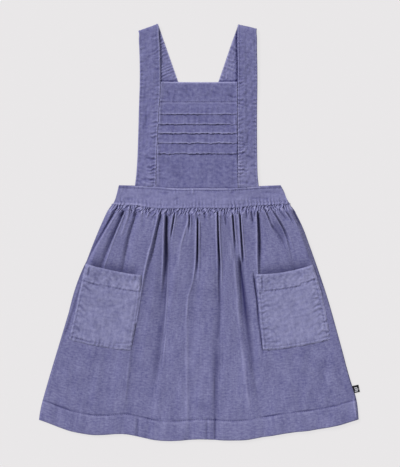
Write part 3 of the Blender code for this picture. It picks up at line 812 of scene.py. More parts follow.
def skirt_front_face(panel, x, y, below, above_hem, share):
    """Height of the front panel's outer face, and its wear with painted light and shade."""
    position = share * GATHERED_WIDTH
    span = smooth(below / FULL_DEPTH)
    over_back = 0.9 + (BACK_PUFF - 0.9) * span * fade((below - 40.0) / 130.0)
    over_back *= fade((below - 150.0) / 60.0)
    over_hem = (HEM_REST - SKIRT_REST) * smooth((below - 150.0) / 80.0)
    over_straps = hump(x, HUMP_FULL) * fade(below / WAIST_BLEND)
    rest = SKIRT_REST + over_back + over_hem + over_straps
    settle = fade((below - FULL_DEPTH) / 190.0)
    puff = FULL_PUFF * span * (0.08 + 0.92 * settle)
    left, right = panel.ends(y)
    from_edge = np.minimum(x - left, right - x)
    roll = smooth(from_edge / 8.0)
    fine, pulls = crimped(position, below, 5)
    sharp, soft, dark = panel.troughs(x, y, below)
    lips = panel.lips(x, y, below)
    dips = pocket_dips(x, y)
    creased = creases(SKIRT_CREASES, x, y)
    waves = 0.6 * mottle(x, 0.4 * y, 46.0, 21) * smooth((below - 50.0) / 80.0)
    waves += 0.35 * mottle(x, 0.3 * y, 17.0, 22) * smooth((below - 20.0) / 60.0)
    face = rest + puff * roll + (CRIMP_HEIGHT * fine + PULL_HEIGHT * pulls) * (0.3 + 0.7 * roll)
    face += 1.7 * lips * roll + waves * (0.2 + 0.8 * roll)
    face -= sharp * (0.3 + 0.7 * roll) + soft + 2.2 * dips + creased
    above_seam = above_hem - HEM_DEPTH
    hem_line = hill(above_seam, 1.1) * np.clip(0.7 + 0.5 * ripple(x, 55.0, 23), 0.1, 1.2)
    face -= 1.1 * hem_line
    face += 0.35 * fade(above_seam / 1.5) * smooth(from_edge / 3.0)
    hem_pucker = ripple(x + 0.3 * y, 7.0, 24, 0.35) * hill(above_seam, 8.0)
    low = smooth((below - 160.0) / 60.0)
    face += 0.25 * hem_pucker + 0.14 * mottle(0.3 * x, y, 7.0, 26) * low
    rim = fade(np.minimum(from_edge, above_hem) / RIM_WIDTH)
    face -= 0.8 * rim
    floor = SKIRT_REST + 0.15
    face = floor + np.logaddexp(0.0, (face - floor) * 2.0) / 2.0
    # A pale line on the hem's turned edge, part wear and part painted highlight
    rub_and_highlight = np.clip(0.8 + 0.5 * ripple(x, 24.0, 25), 0.1, 1.4)
    wear_and_painted_light = 0.25 * hill(above_seam + 2.6, 1.2) * rub_and_highlight
    # Painted highlights on the folds' lips and the crimps' ridges, painted shade in the crimps'
    # gaps
    wear_and_painted_light += 0.65 * np.clip(lips, 0.0, 1.0)
    wear_and_painted_light += 0.9 * np.clip(fine, 0.0, 1.0) + 0.42 * np.clip(fine, -1.0, 0.0)
    # Paler on the pulls, painted shade in the creases and painted highlights on the ridges
    wear_and_painted_light += 0.15 * pulls - np.clip(creased, 0.0, 2.4) * 0.3 - np.clip(creased, -1.0, 0.0) * 0.5
    low_corner = smooth((np.abs(x) - 100.0) / 60.0) * smooth((below - 165.0) / 60.0)
    cloudy = mottle(x, y, 30.0, 27) * smooth((below - 60.0) / 60.0)
    wear_and_painted_light += 0.04 * (above_seam < 0.0) + 0.06 * cloudy
    wear_and_painted_light += (0.06 * mottle(x + 0.5 * y, 0.6 * y, 13.0, 28) - 0.07) * low_corner
    # Painted shade at the folds' bottoms, in the soft valleys, above the pockets' mouths and in the
    # hem's stitched groove
    wear_and_painted_light -= dark + 0.09 * soft + 0.55 * dips + 0.75 * hem_line
    return face, wear_and_painted_light


def make_skirt_front():
    panel = Panel(FRONT_FOLDS, crowd=1.0, crowd_width=4.0)
    rows = SKIRT_GRID[1]

    def place(across, down):
        share = panel.line(across)
        tucked = down * rows < 0.5
        down = skirt_row(np.clip((down * rows - 1.0) / (rows - 1.0), 0.0, 1.0))
        x, y, below, above_hem = panel.plan(share, down)
        face, wear_and_painted_light = skirt_front_face(panel, x, y, below, above_hem, share)
        thick = np.where(above_hem < HEM_DEPTH, DOUBLED, CLOTH)
        face = np.where(tucked, FRONT_REST + hump(x, HUMP_FULL) - 0.15, face)
        thick = np.where(tucked, SEAM_EDGE, thick)
        y = y + SEAM_TUCK * tucked
        return stack(x, y, face), stack(x, y, face - thick), *panel.cut(share, down), wear_and_painted_light

    piece = cloth("skirt_front", SKIRT_GRID, place, SKIRT_CORD)
    stitching(piece, above=[hem_seam()])
    return piece


# Troughs pressed into the back panel, which lies on its face
BACK_FOLDS = table(
    Fold,
    (-117, -133, -150, -180, -205, 1.9, 2, 80, 3, 4, 0.3, 0, 8),
    (-96, -110, -124, -147, -170, 1.3, 0, 50, 1.8, 3, 0.3, 0, 8),
    (-71, -79, -88, -110, -131, 2.4, 4, 170, 3, 1.8, 0.4, 0.5, 12),
    (-49, -55, -60, -72, -86, 1.5, 2, 70, 1.8, 1.8, 0.3, 0, 8),
    (-22, -24, -25, -30, -36, 2.2, 4, 130, 1.8, 4, 0.4, 0.4, 10),
    (3, 4, 5, 6.5, 8, 1.2, 0, 45, 1.6, 1.6, 0.3, 0, 8),
    (24, 27, 30, 38, 46, 2.4, 4, 165, 4, 1.8, 0.4, 0.5, 12),
    (52, 60, 68, 82, 97, 1.7, 2, 90, 1.8, 3, 0.3, 0, 8),
    (80, 90, 99, 119, 140, 2.3, 4, 145, 3, 1.8, 0.4, 0.4, 12),
    (104, 118, 131, 157, 182, 1.4, 0, 60, 3, 3, 0.3, 0, 8),
    (124, 141, 158, 188, 216, 1.9, 2, 75, 4, 3, 0.3, 0, 8),
)


def make_skirt_back():
    panel = Panel(BACK_FOLDS, 1.2, 6.0, peek=BACK_PEEK, step=BACK_STEP)

    def place(across, down):
        share = panel.line(across)
        down = skirt_row(down)
        x, y, below, above_hem = panel.plan(share, down)
        sharp, soft, dark = panel.troughs(x, y, below)
        fine, pulls = crimped(share * GATHERED_WIDTH, below, 8)
        crimps = np.clip(0.9 * fine + 0.7 * pulls, 0.0, 1.6)
        lift = np.minimum(sharp + soft + crimps, BACK_PUFF) * smooth(below / 6.0 + 0.3)
        hem_line = hill(above_hem - HEM_DEPTH, 1.3)
        left, right = panel.ends(y)
        rim = fade(nearest(x - left, right - x, above_hem) / RIM_WIDTH)
        under = lift + 0.4 * hem_line + 0.4 * rim
        thick = np.where(above_hem < HEM_DEPTH, DOUBLED, CLOTH) - 0.7 * rim
        # Paler at the hem's fold and the rim, part wear and part painted highlight; painted shade
        # in the folds and where the crimps lift
        wear_and_painted_light = 0.35 * hill(above_hem - HEM_DEPTH + 2.2, 1.2) + 0.3 * rim - dark - 0.4 * crimps
        return stack(x, y, under), stack(x, y, under + thick), *panel.cut(share, down), wear_and_painted_light

    piece = cloth("skirt_back", SKIRT_BACK_GRID, place, SKIRT_CORD)
    sewing = stitching(piece, below=[hem_seam()])


# --- Waistband -----------------------------------------------------------------------------

BAND_TOP = (
    (-122, 70.4), (-96, 69.8), (-60, 68.4), (-44, 66.6), (0, 66.2), (50, 66.4), (72, 67.8),
    (90, 69), (124, 70.4),
)
BAND_LEFT = ((42.6, -129.6), (48.8, -126.4), (54.8, -124.4), (61.0, -122.8), (70.4, -120.2))
BAND_RIGHT = ((43.4, 135.8), (48.8, 132.5), (61.0, 127.6), (70.4, 122.4))
BAND_LENGTH, BAND_DEPTH = 262.0, 29.0
BAND_TOP_SEAM, BAND_FOOT_SEAM = 3.8, 4.3
BAND_CREASES = table(
    Crease,
    (-90, 54, -70, 55, 0.4, 2.5), (-110, 50, -96, 52.5, 0.5, 2), (-62, 60, -44, 58.5, 0.5, 1.8),
    (-40, 47, -30, 52, 0.4, 1.8), (-20, 57, -4, 55.5, 0.4, 2.2), (10, 62, 34, 61, 0.4, 2),
    (46, 58.5, 58, 62, 0.6, 2), (72, 52, 108, 50.5, 0.6, 2), (95, 60.5, 122, 58.5, 0.5, 2),
    (56, 49, 78, 51, -0.4, 2),
)


def waistband_plan(across, down, step=0.0):
    """Plan position on the waistband."""
    left = curve(BAND_LEFT, 70.0 - 27.0 * down)
    right = curve(BAND_RIGHT, 70.0 - 27.0 * down)
    x = left * (1.0 - across) + right * across
    top, foot = curve(BAND_TOP, x) + step, curve(WAIST_SEAM, x) + step
    return x, top + (foot - top) * down


def waistband_rim(across, down):
    """Distances from the foot and the top, and 1 at the very edges."""
    above_foot, below_top = BAND_DEPTH * (1.0 - down), BAND_DEPTH * down
    from_end = np.minimum(across, 1.0 - across) * BAND_LENGTH
    rim = fade(nearest(above_foot, below_top, from_end) / 1.5)
    return above_foot, below_top, rim


def waistband_seams(step=0.0):
    """Routes of the stitches along the waistband's top and foot."""
    across = np.linspace(0.01, 0.99, 120)
    shares = (BAND_TOP_SEAM / BAND_DEPTH, 1.0 - BAND_FOOT_SEAM / BAND_DEPTH)
    routes = [waistband_plan(across, np.full_like(across, share), step) for share in shares]
    return [np.column_stack(route) for route in routes]


def make_waistband_front():
    def place(across, down):
        x, y = waistband_plan(across, down)
        above_foot, below_top, rim = waistband_rim(across, down)
        off_middle = np.abs(x + 2.0)
        over_bib = smooth((47.0 - off_middle) / 4.0)
        over_straps = smooth((12.0 - np.abs(off_middle - 84.0)) / 4.0)
        ends = fade((np.minimum(across, 1.0 - across) * BAND_LENGTH - 16.0) / 10.0)
        strength = 0.4 + 0.8 * smooth((x - 30.0) / 30.0) + 0.4 * smooth((-70.0 - x) / 20.0)
        foot_puckers = ripple(x + 1.5 * ripple(above_foot, 11.0, 36), 5.6, 33, 0.25) * strength
        top_puckers = ripple(x, 7.4, 34, 0.3) * (0.5 + 0.5 * ripple(x, 33.0, 35))
        top_puckers = top_puckers * hill(below_top - 4.0, 4.5)
        reach = 6.0 + 3.0 * ripple(x, 19.0, 38)
        creased = creases(BAND_CREASES, x, y)
        upright = ripple(x + 0.6 * ripple(above_foot, 13.0, 39), 4.4, 30, 0.3)
        upright = upright * hill(above_foot - 6.0, 10.0)
        face = FRONT_REST + hump(x, HUMP_FULL) + DOUBLED
        face += 0.6 * hill(below_top - 1.5, 1.2) + 0.35 * hill(above_foot - 1.8, 1.2)
        face -= 0.45 * hill(below_top - BAND_TOP_SEAM, 0.9) + 0.4 * hill(above_foot - 4.2, 0.9)
        face += 0.4 * mottle(x, 1.3 * y, 38.0, 31) + 0.2 * mottle(x, 0.6 * y, 10.0, 32)
        face += 0.75 * foot_puckers * hill(above_foot - 3.0, reach)
        face += 0.45 * top_puckers + 0.2 * upright
        face -= creased + 0.7 * rim * (below_top < 10.0)
        # Painted highlights along the top edge where it bridges the bib and straps, along the foot
        # and on the puckers' ridges; painted shade in the top seam's groove, at the ends' top
        # corners and in the creases
        lit_edge = 0.1 + 0.85 * over_bib + 0.5 * over_straps
        wear_and_painted_light = lit_edge * hill(below_top - 0.7, 0.7) - 0.3 * hill(below_top - 3.4, 0.9)
        wear_and_painted_light -= 0.75 * ends * hill(below_top - 0.6, 1.2)
        wear_and_painted_light += 0.4 * hill(above_foot - 1.4, 1.0) * (0.4 + 1.2 * smooth((-78.0 - x) / 10.0))
        wear_and_painted_light += 0.3 * foot_puckers * hill(above_foot - 3.0, 6.0) + 0.15 * top_puckers
        wear_and_painted_light += 0.08 * upright - 0.4 * np.clip(creased, -0.6, 1.0) + 0.27
        thick = DOUBLED - 0.9 * rim
        return stack(x, y, face), stack(x, y, face - thick), x + BAND_START, y, wear_and_painted_light

    piece = cloth("waistband_front", BAND_GRID, place, BAND_CORD)
    stitching(piece, above=waistband_seams())


def make_waistband_back():
    def place(across, down):
        x, y = waistband_plan(across, down, BACK_STEP)
        above_foot, below_top, rim = waistband_rim(across, down)
        puckers = 0.5 + 0.5 * ripple(x, 5.8, 37, 0.25)
        seams = 0.35 * hill(below_top - BAND_TOP_SEAM, 1.0) + 0.35 * hill(above_foot - 4.4, 1.0)
        under = np.maximum(0.5 * rim + 0.45 * puckers * hill(above_foot, 6.0) + seams, 0.0)
        thick = DOUBLED - 0.9 * rim
        # Painted highlights along the top and foot edges
        wear_and_painted_light = 0.4 * hill(below_top - 0.8, 0.9) + 0.3 * hill(above_foot - 1.4, 1.1) + 0.1
        return stack(x, y, under), stack(x, y, under + thick), x + BAND_START, y, wear_and_painted_light

    piece = cloth("waistband_back", BAND_BACK_GRID, place, BAND_CORD)
    sewing = stitching(piece, below=waistband_seams(BACK_STEP))


# --- Bands, straps and bib -----------------------------------------------------------------

# Edges of the bands beside the bib
BandRow = namedtuple("BandRow", "outer_x outer_y inner_x inner_y")
LEFT_BAND = table(
    BandRow,
    (-96.2, 70, -65, 68.7), (-94.3, 86, -64.8, 86), (-92.7, 110, -64.2, 110),
    (-91.4, 145, -62.6, 145), (-90.4, 185, -60.4, 185), (-89, 225, -57.8, 225),
    (-89, 248, -58, 250), (-89.6, 274, -58.9, 280), (-90.3, 290, -60.4, 299),
)
RIGHT_BAND = table(
    BandRow,
    (89.8, 69.1, 58.9, 67.6), (88.2, 86, 58.6, 86), (87.6, 110, 58.5, 110),
    (87.3, 145, 58.4, 145), (87.4, 185, 58, 185), (87.8, 225, 58.1, 225),
    (87.7, 248, 58.2, 250), (87.2, 274, 57.7, 280), (87.1, 292.5, 57.8, 298.5),
)
# A strap's fold at its shoulder: its two ends, how steeply the strap runs in behind, its width
# there, whether it crosses over its twin, how far its front's inner edge lifts, how dark and how
# wide the painted shadow on its back part is, how pale it is, how much painted light brightens
# its front low down and darkens it higher up, and how much the painted highlight on its inner
# edge grows or shrinks from some height up
Shoulder = namedtuple(
    "Shoulder",
    "outer_x outer_y inner_x inner_y lean across over_twin lift shade shadow pale rub edge"
    " edge_from",
)
LEFT_SHOULDER, RIGHT_SHOULDER = table(
    Shoulder,
    (-91.4, 302.8, -61.8, 313.8, 0.350, 31.8, False, 0.5, 0.2, 1, 0.04, 0, 0.5, 224),
    (87.2, 306.4, 58.7, 312.8, 0.342, 31.5, True, 2.2, 1.2, 2.9, 0.15, 0.2, -0.4, 188),
)
SHOULDER_RADIUS = 2.8
# Heights of a strap's sections behind, and where it climbs over its twin and the waistband
BACK_RUN = (288.0, 262.0, 226.0, 190.0, 162.0, 140.0, 112.0, 84.0, 74.0, 56.0)
TWIN_RISE = (162.0, 140.0)
WAIST_RISE = (84.0, 74.0)
FOLD_STEPS = 6  # sections round the fold at the shoulder
STRAP_WIDTH = 30.0
STRAP_SEAMS = (0.113, 0.887)  # where its stitches run, as shares of its width

BAND_SIDE_CREASES = table(
    Crease,
    (-83.4, 121, -80.6, 116, -0.6, 1.3), (-79.5, 112.2, -66.5, 109.6, 0.9, 1.4),
    (-77, 98.2, -68, 94.6, 0.9, 1.4), (-72.5, 143.2, -65.6, 140, 0.9, 1.2),
    (-73, 145.4, -67, 142.6, -0.5, 1.1), (-84.5, 84.8, -65, 83.8, -0.6, 1.6),
    (-85, 75.2, -66.5, 71.6, -0.6, 1.8), (-86, 79.5, -66, 78, 0.6, 1.5),
    (-84, 150, -79, 176, 0.35, 2), (-79.6, 150, -79, 192, 0.45, 1.5),
    (71.5, 115, 82.5, 111, 0.9, 1.5), (61, 117.6, 71.8, 126.4, -0.6, 1.5),
    (60.5, 112, 68, 121, 0.5, 1.3), (73, 127, 74, 150, 0.55, 1.4),
    (73.6, 150, 76.5, 156, 0.4, 1.4), (76, 90, 86, 84, 0.6, 1.5), (64, 76, 84, 72.5, 0.5, 1.6),
    (78, 100, 86, 101, 0.5, 1.5), (61.5, 110, 62, 84, -0.6, 3),
)


def climbed(y, start, end):
    """Share of a rise that a strap has behind it at a height."""
    return float(smooth((start - y) / (start - end)))


def strap_sections(band, shoulder, side):
    """Sections along a strap: outer edge, inner edge, and the way that its face looks."""
    up = np.array([0.0, 0.0, 1.0])
    half = DOUBLED / 2.0
    sections = []

    def on_front(x, y, lift=0.0):
        return np.array([x, y, float(front_lay(x, y)) + half + lift])

    for row in band:
        lift = smooth((row.inner_y - 222.0) / 20.0) * smooth((300.0 - row.inner_y) / 16.0)
        outer = on_front(row.outer_x, row.outer_y)
        inner = on_front(row.inner_x, row.inner_y, shoulder.lift * float(lift))
        sections.append((outer, inner, up))
    outer = np.array([shoulder.outer_x, shoulder.outer_y, 0.0])
    inner = np.array([shoulder.inner_x, shoulder.inner_y, 0.0])
    along = (inner - outer) / np.linalg.norm(inner - outer)
    away = np.array([-along[1], along[0], 0.0])
    away *= np.sign(away[1])
    front_z = sections[-1][0][2]
    middle, radius = (front_z + half) / 2.0, (front_z - half) / 2.0
    for step in range(FOLD_STEPS + 1):
        turn = math.pi * step / FOLD_STEPS
        face = away * math.sin(turn) + up * math.cos(turn)
        shift = up * middle + face * radius - away * SHOULDER_RADIUS
        sections.append((outer + shift, inner + shift, face))
    step_up = DOUBLED + LAYER_GAP
    for y in BACK_RUN:
        inner_x = -side * (abs(shoulder.inner_x) - shoulder.lean * (shoulder.inner_y - y))
        rise = step_up * climbed(y, *WAIST_RISE)
        if shoulder.over_twin:
            rise += step_up * climbed(y, *TWIN_RISE)
        outer = np.array([inner_x - side * shoulder.across, y, rise + half])
        sections.append((outer, np.array([inner_x, y, rise + half]), -up))
    return sections


def make_strap(node, band, shoulder, side, seed):
    sections = strap_sections(band, shoulder, side)
    outer = np.array([section[0] for section in sections])
    inner = np.array([section[1] for section in sections])
    looks = np.array([section[2] for section in sections])
    middle = (outer + inner) / 2.0
    reached = measured(np.linalg.norm(np.diff(middle, axis=0), axis=1))
    shoulder_at, strap_end = reached[len(band) - 1], reached[-1]

    def read(values, at):
        columns = [curve(list(zip(reached, values[:, axis])), at) for axis in range(3)]
        return np.column_stack(columns)

    def place(across, down):
        at = down * strap_end
        face = read(looks, at)
        face /= np.linalg.norm(face, axis=1)[:, None]
        point = read(outer, at) + (read(inner, at) - read(outer, at)) * across[:, None]
        in_front = fade((at - shoulder_at - 6.0) / 6.0)
        behind = smooth((at - shoulder_at - 14.0) / 5.0)
        from_inner, from_outer = (1.0 - across) * STRAP_WIDTH, across * STRAP_WIDTH
        from_edge = np.minimum(from_inner, from_outer)
        beside_bib = fade((at - 128.0) / 34.0)
        sewn = beside_bib * fade((from_inner - 6.0) / 2.0)
        rim = fade(from_edge / 1.5) * (1.0 - sewn)
        low_down = fade((at - 40.0) / 60.0)
        level = smooth((np.abs(at - shoulder_at - 12.0) - 7.0) / 12.0)
        x, y = point[:, 0], point[:, 1]
        leaning = at + 0.35 * from_inner * ripple(at, 47.0, seed + 4)
        leaning += 1.5 * ripple(from_inner, 9.0, seed + 9)
        reach = 8.0 + 3.5 * ripple(at, 31.0, seed + 5)
        inner_pucker = ripple(leaning, 6.4, seed, 0.28) * hill(from_inner - 4.0, reach)
        inner_pucker = inner_pucker * (0.5 + 0.35 * beside_bib + 0.25 * low_down) * level
        outer_pucker = ripple(at, 6.2, seed + 6, 0.25) * hill(from_outer - 3.0, 3.5) * level
        lumps = 0.4 * mottle(from_inner, at, 24.0, seed + 1)
        lumps += 0.35 * mottle(from_inner, 0.7 * at, 8.0, seed + 7)
        allowance = 0.45 * fade((from_inner - 11.5) / 2.0) * in_front
        slanting = at - 0.45 * from_inner + 2.5 * ripple(at, 40.0, seed + 8)
        wrinkle = ripple(slanting, 6.0, seed + 2, 0.3)
        wrinkle = wrinkle * (0.65 + 0.4 * mottle(from_inner, at, 20.0, seed + 3)) * behind
        wrinkle += 0.3 * mottle(2.0 * from_inner, 1.6 * at, 9.0, seed + 10) * behind
        seam = 0.4 * hill(from_edge - 1.4, 1.0) * (1.0 - 0.8 * sewn)
        seam -= 0.35 * hill(from_edge - 3.4, 0.8)
        creased = creases(BAND_SIDE_CREASES, x, y) * in_front
        raised = 0.9 * inner_pucker + 0.5 * outer_pucker + lumps * (0.3 + 0.7 * level)
        raised += allowance + seam + 0.3 * wrinkle - 0.7 * rim - creased
        half = DOUBLED / 2.0
        floor_side = np.clip(-face[:, 2], 0.0, 1.0)
        outward = half + np.clip(raised, -0.9, 2.0) * (1.0 - 0.75 * floor_side) - 0.35 * floor_side
        inward = half - 0.3 * rim + 1.0 * wrinkle + 0.35 * behind
        near = point + face * outward[:, None]
        far = point - face * inward[:, None]
        near[:, 2] = np.maximum(near[:, 2], 0.02)
        # Painted highlight along the inner edge; on one strap it grows and on the other it fades
        # from some height up
        edge_light = 0.65 - 0.1 * beside_bib + 0.25 * ripple(at, 6.4, seed, 0.28) * beside_bib
        edge_light += shoulder.edge * smooth((y - shoulder.edge_from) / 10.0) * in_front
        wear_and_painted_light = shoulder.pale + edge_light * hill(from_inner - 0.7, 0.8)
        # Painted highlights on the outer edge and on the wrinkles' and puckers' ridges, painted
        # shade in the wrinkles' hollows, and a little paler behind
        wear_and_painted_light += 0.18 * hill(from_outer - 1.0, 1.0) + 0.1 * behind + 0.35 * wrinkle
        wear_and_painted_light += (0.3 * inner_pucker + 0.25 * outer_pucker) * in_front
        # Painted shade in the groove beside the inner seam and in the creases
        wear_and_painted_light -= 0.12 * hill(from_inner - 3.4, 0.8) * in_front + 0.5 * np.clip(creased, -0.5, 1.0)
        # Painted shadow on the back part just above the bib's top edge
        wear_and_painted_light -= 0.9 * hill(y - BIB_TOP - 1.4, 1.2) * behind
        # Painted shadow on the back part beside the front's inner edge, and painted shade near the
        # shoulder
        under_twin = np.abs(bib_side(band, y)) - np.abs(x)
        wear_and_painted_light -= shoulder.shade * hill(np.maximum(under_twin, 0.0), shoulder.shadow) * behind
        wear_and_painted_light -= 0.25 * shoulder.shade * behind * fade((shoulder.inner_y - 6.0 - y) / 28.0)
        # Painted light: lighter low on the front and darker higher up
        wear_and_painted_light += shoulder.rub * (smooth((150.0 - y) / 65.0) - 0.4) * in_front
        return near, far, across * STRAP_WIDTH, at, wear_and_painted_light

    def seams(start, end):
        at = np.linspace(start, end, 120)
        edges = read(outer, at), read(inner, at)
        return [(edges[0] + (edges[1] - edges[0]) * share)[:, :2] for share in STRAP_SEAMS]

    piece = cloth(node, STRAP_GRID, place, BAND_CORD)
    front, back = seams(2.0, shoulder_at - 1.0), seams(shoulder_at + 16.0, strap_end - 6.0)
    stitching(piece, front, back)


BIB_TOP = 226.4
BIB_TOP_DIP = 0.6
BIB_HEM = 30.4  # depth of its turned hem
BIB_FOOT = 67.0
BIB_WIDTH = 118.0
BIB_GAP = 0.06  # between the bib and a band
BIB_SEAM_END = 56.0  # how far the hem's stitches run from the middle
BIB_SEAM_RISE = 0.4  # and how far above the hem's lower edge
TUCK_EDGES = (177.5, 162.3, 148.5, 133.8, 118.1)
TUCK_RISE = 2.0
TUCK_LAP = 1.6  # how far a tuck overhangs the cloth under it
TUCK_SHADE_AT = (-58.0, -43.5, -29.0, -14.5, 0.0, 14.5, 29.0, 43.5, 58.0)
# The more a tuck stands open, the deeper the painted shadow under its edge
TUCK_SHADES = (  # how far each tuck stands open at these places along its edge
    (-0.3, 0.5, 0.66, 0.55, 0.8, 0.05, 0.3, 0.5, 0.1),
    (0.68, 0.84, 0.75, 0.6, 0.4, 0.7, 0.93, 0.37, -0.1),
    (0.4, 1.05, 0.95, 0.77, 0.97, 0.86, 0.84, 1.0, 0.6),
    (0.15, 0.26, 0.53, 0.75, 0.65, 0.35, 0.64, 0.7, 0.1),
    (1.2, 0.8, 0.4, 0.8, 1.1, 0.92, 0.55, 0.45, 0.95),
)
TUCK_LIGHT = (0.7, 0.65, 0.85, 0.8, 0.4)  # how bright the painted highlight on each tuck's edge is
BIB_CREASES = table(
    Crease,
    (-47.5, 212.5, -43.8, 205, 1, 1.5), (-24, 178.5, -14, 170, 0.7, 1.2),
    (-3.6, 177, 3, 169, 0.5, 1.1), (30, 176, 51, 164, 0.6, 1.2),
    (12.3, 176, 13.5, 132, 0.5, 0.9), (-44, 160, -39, 151, 0.5, 1.1),
    (-58, 116, -44, 106, 0.6, 1.3), (-30, 218, -12, 206, 0.35, 2.5),
    (8, 204, 30, 210, 0.35, 2.5), (38, 221, 50, 203, 0.4, 2.2),
    (43.5, 206.5, 55.5, 201.5, 0.9, 1.3), (52.4, 177, 56.5, 146, -0.6, 1),
    (54.8, 177, 58, 146, 0.2, 0.9), (57.6, 139, 57.6, 103, 0.5, 0.9),
    (-58.4, 192, -58.4, 164, -0.6, 1), (-61.6, 142, -62, 114, -0.6, 1),
    (-60.8, 106, -60.6, 74, -0.8, 1.2), (44, 117.6, 55, 113.4, 1, 1.2),
    (45, 115, 56, 111, -0.5, 1.1), (-64, 82.8, -47, 79.2, 0.7, 1.4),
    (49, 80, 58.5, 78.5, 0.7, 1.3), (49, 73, 58.5, 74.5, 0.6, 1.3), (-56, 108, -30, 96, 0.4, 3),
    (-48, 92, -22, 84, 0.3, 3),
)


def bib_side(band, y):
    return curve([(row.inner_y, row.inner_x) for row in band], y)


def bib_profile():
    """Rows down the bib: height on the dress, rise of the face, wear with painted light, share
    of a wave, and tuck. Highlights are painted on the top edge and the tucks' edges, and shadow
    under the tucks, in the hem's groove and at the foot.
    """
    hem_line = BIB_TOP - BIB_HEM
    # The top edge carries a painted highlight
    rows = [
        (BIB_TOP, -0.6, 0.8, 0.0, 0),
        (BIB_TOP - 0.8, 0.2, 0.8, 0.0, 0),
        (BIB_TOP - 2.0, 0.6, 0.2, 0.0, 0),
    ]
    rows += [(y, 0.45, 0.0, 0.0, 0) for y in np.linspace(BIB_TOP - 4.0, hem_line + 3.0, 14)]
    # Painted shade in the hem's stitched groove, with painted highlights beside it
    rows += [
        (hem_line + 1.8, 0.6, 0.1, 0.3, 0),
        (hem_line + 0.8, 0.4, 0.0, 0.3, 0),
        (hem_line, -0.1, -0.4, 0.3, 0),
        (hem_line - 0.8, 0.0, 0.1, 0.3, 0),
        (hem_line - 1.6, 0.1, 0.35, 0.3, 0),
    ]
    start = hem_line - 2.8
    for tuck, edge in enumerate(TUCK_EDGES):
        for share in np.linspace(0.0, 1.0, 8):
            y = start + (edge + 2.4 - start) * share
            rise = TUCK_RISE * (0.02 + 0.78 * share**1.3)
            rows.append((y, rise, 0.0, 0.3 + 0.7 * share, tuck))
        # Each tuck's folded edge carries a painted highlight, then painted shadow in the gap under
        # it
        rows += [
            (edge + 1.3, TUCK_RISE, 0.55, 1.0, tuck),
            (edge + 0.4, 0.95 * TUCK_RISE, 0.85, 1.0, tuck),
            (edge - 0.1, 0.7 * TUCK_RISE, 0.6, 1.0, tuck),
            (edge + 0.2, 0.36 * TUCK_RISE, -0.6, 1.0, tuck),
            (edge + TUCK_LAP, 0.12 * TUCK_RISE, -1.0, 1.0, tuck),
            (edge + TUCK_LAP - 0.2, -0.3, -1.0, 1.0, tuck),
            (edge - 0.2, -0.4, -1.0, 1.0, tuck),
            (edge - 1.2, -0.35, -0.75, 0.9, tuck),
            (edge - 2.2, -0.15, -0.1, 0.7, tuck),
        ]
        start = edge - 3.2
    rows += [(y, 0.0, 0.0, 0.0, tuck) for y in np.linspace(start - 1.5, BIB_FOOT + 1.5, 26)]
    # Painted shade where the foot turns under the waistband
    rows += [
        (BIB_FOOT + 0.2, -0.5, -0.4, 0.0, tuck),
        (BIB_FOOT - SEAM_TUCK, -CLOTH - 0.3, -0.6, 0.0, tuck),
    ]
    return np.array(rows)


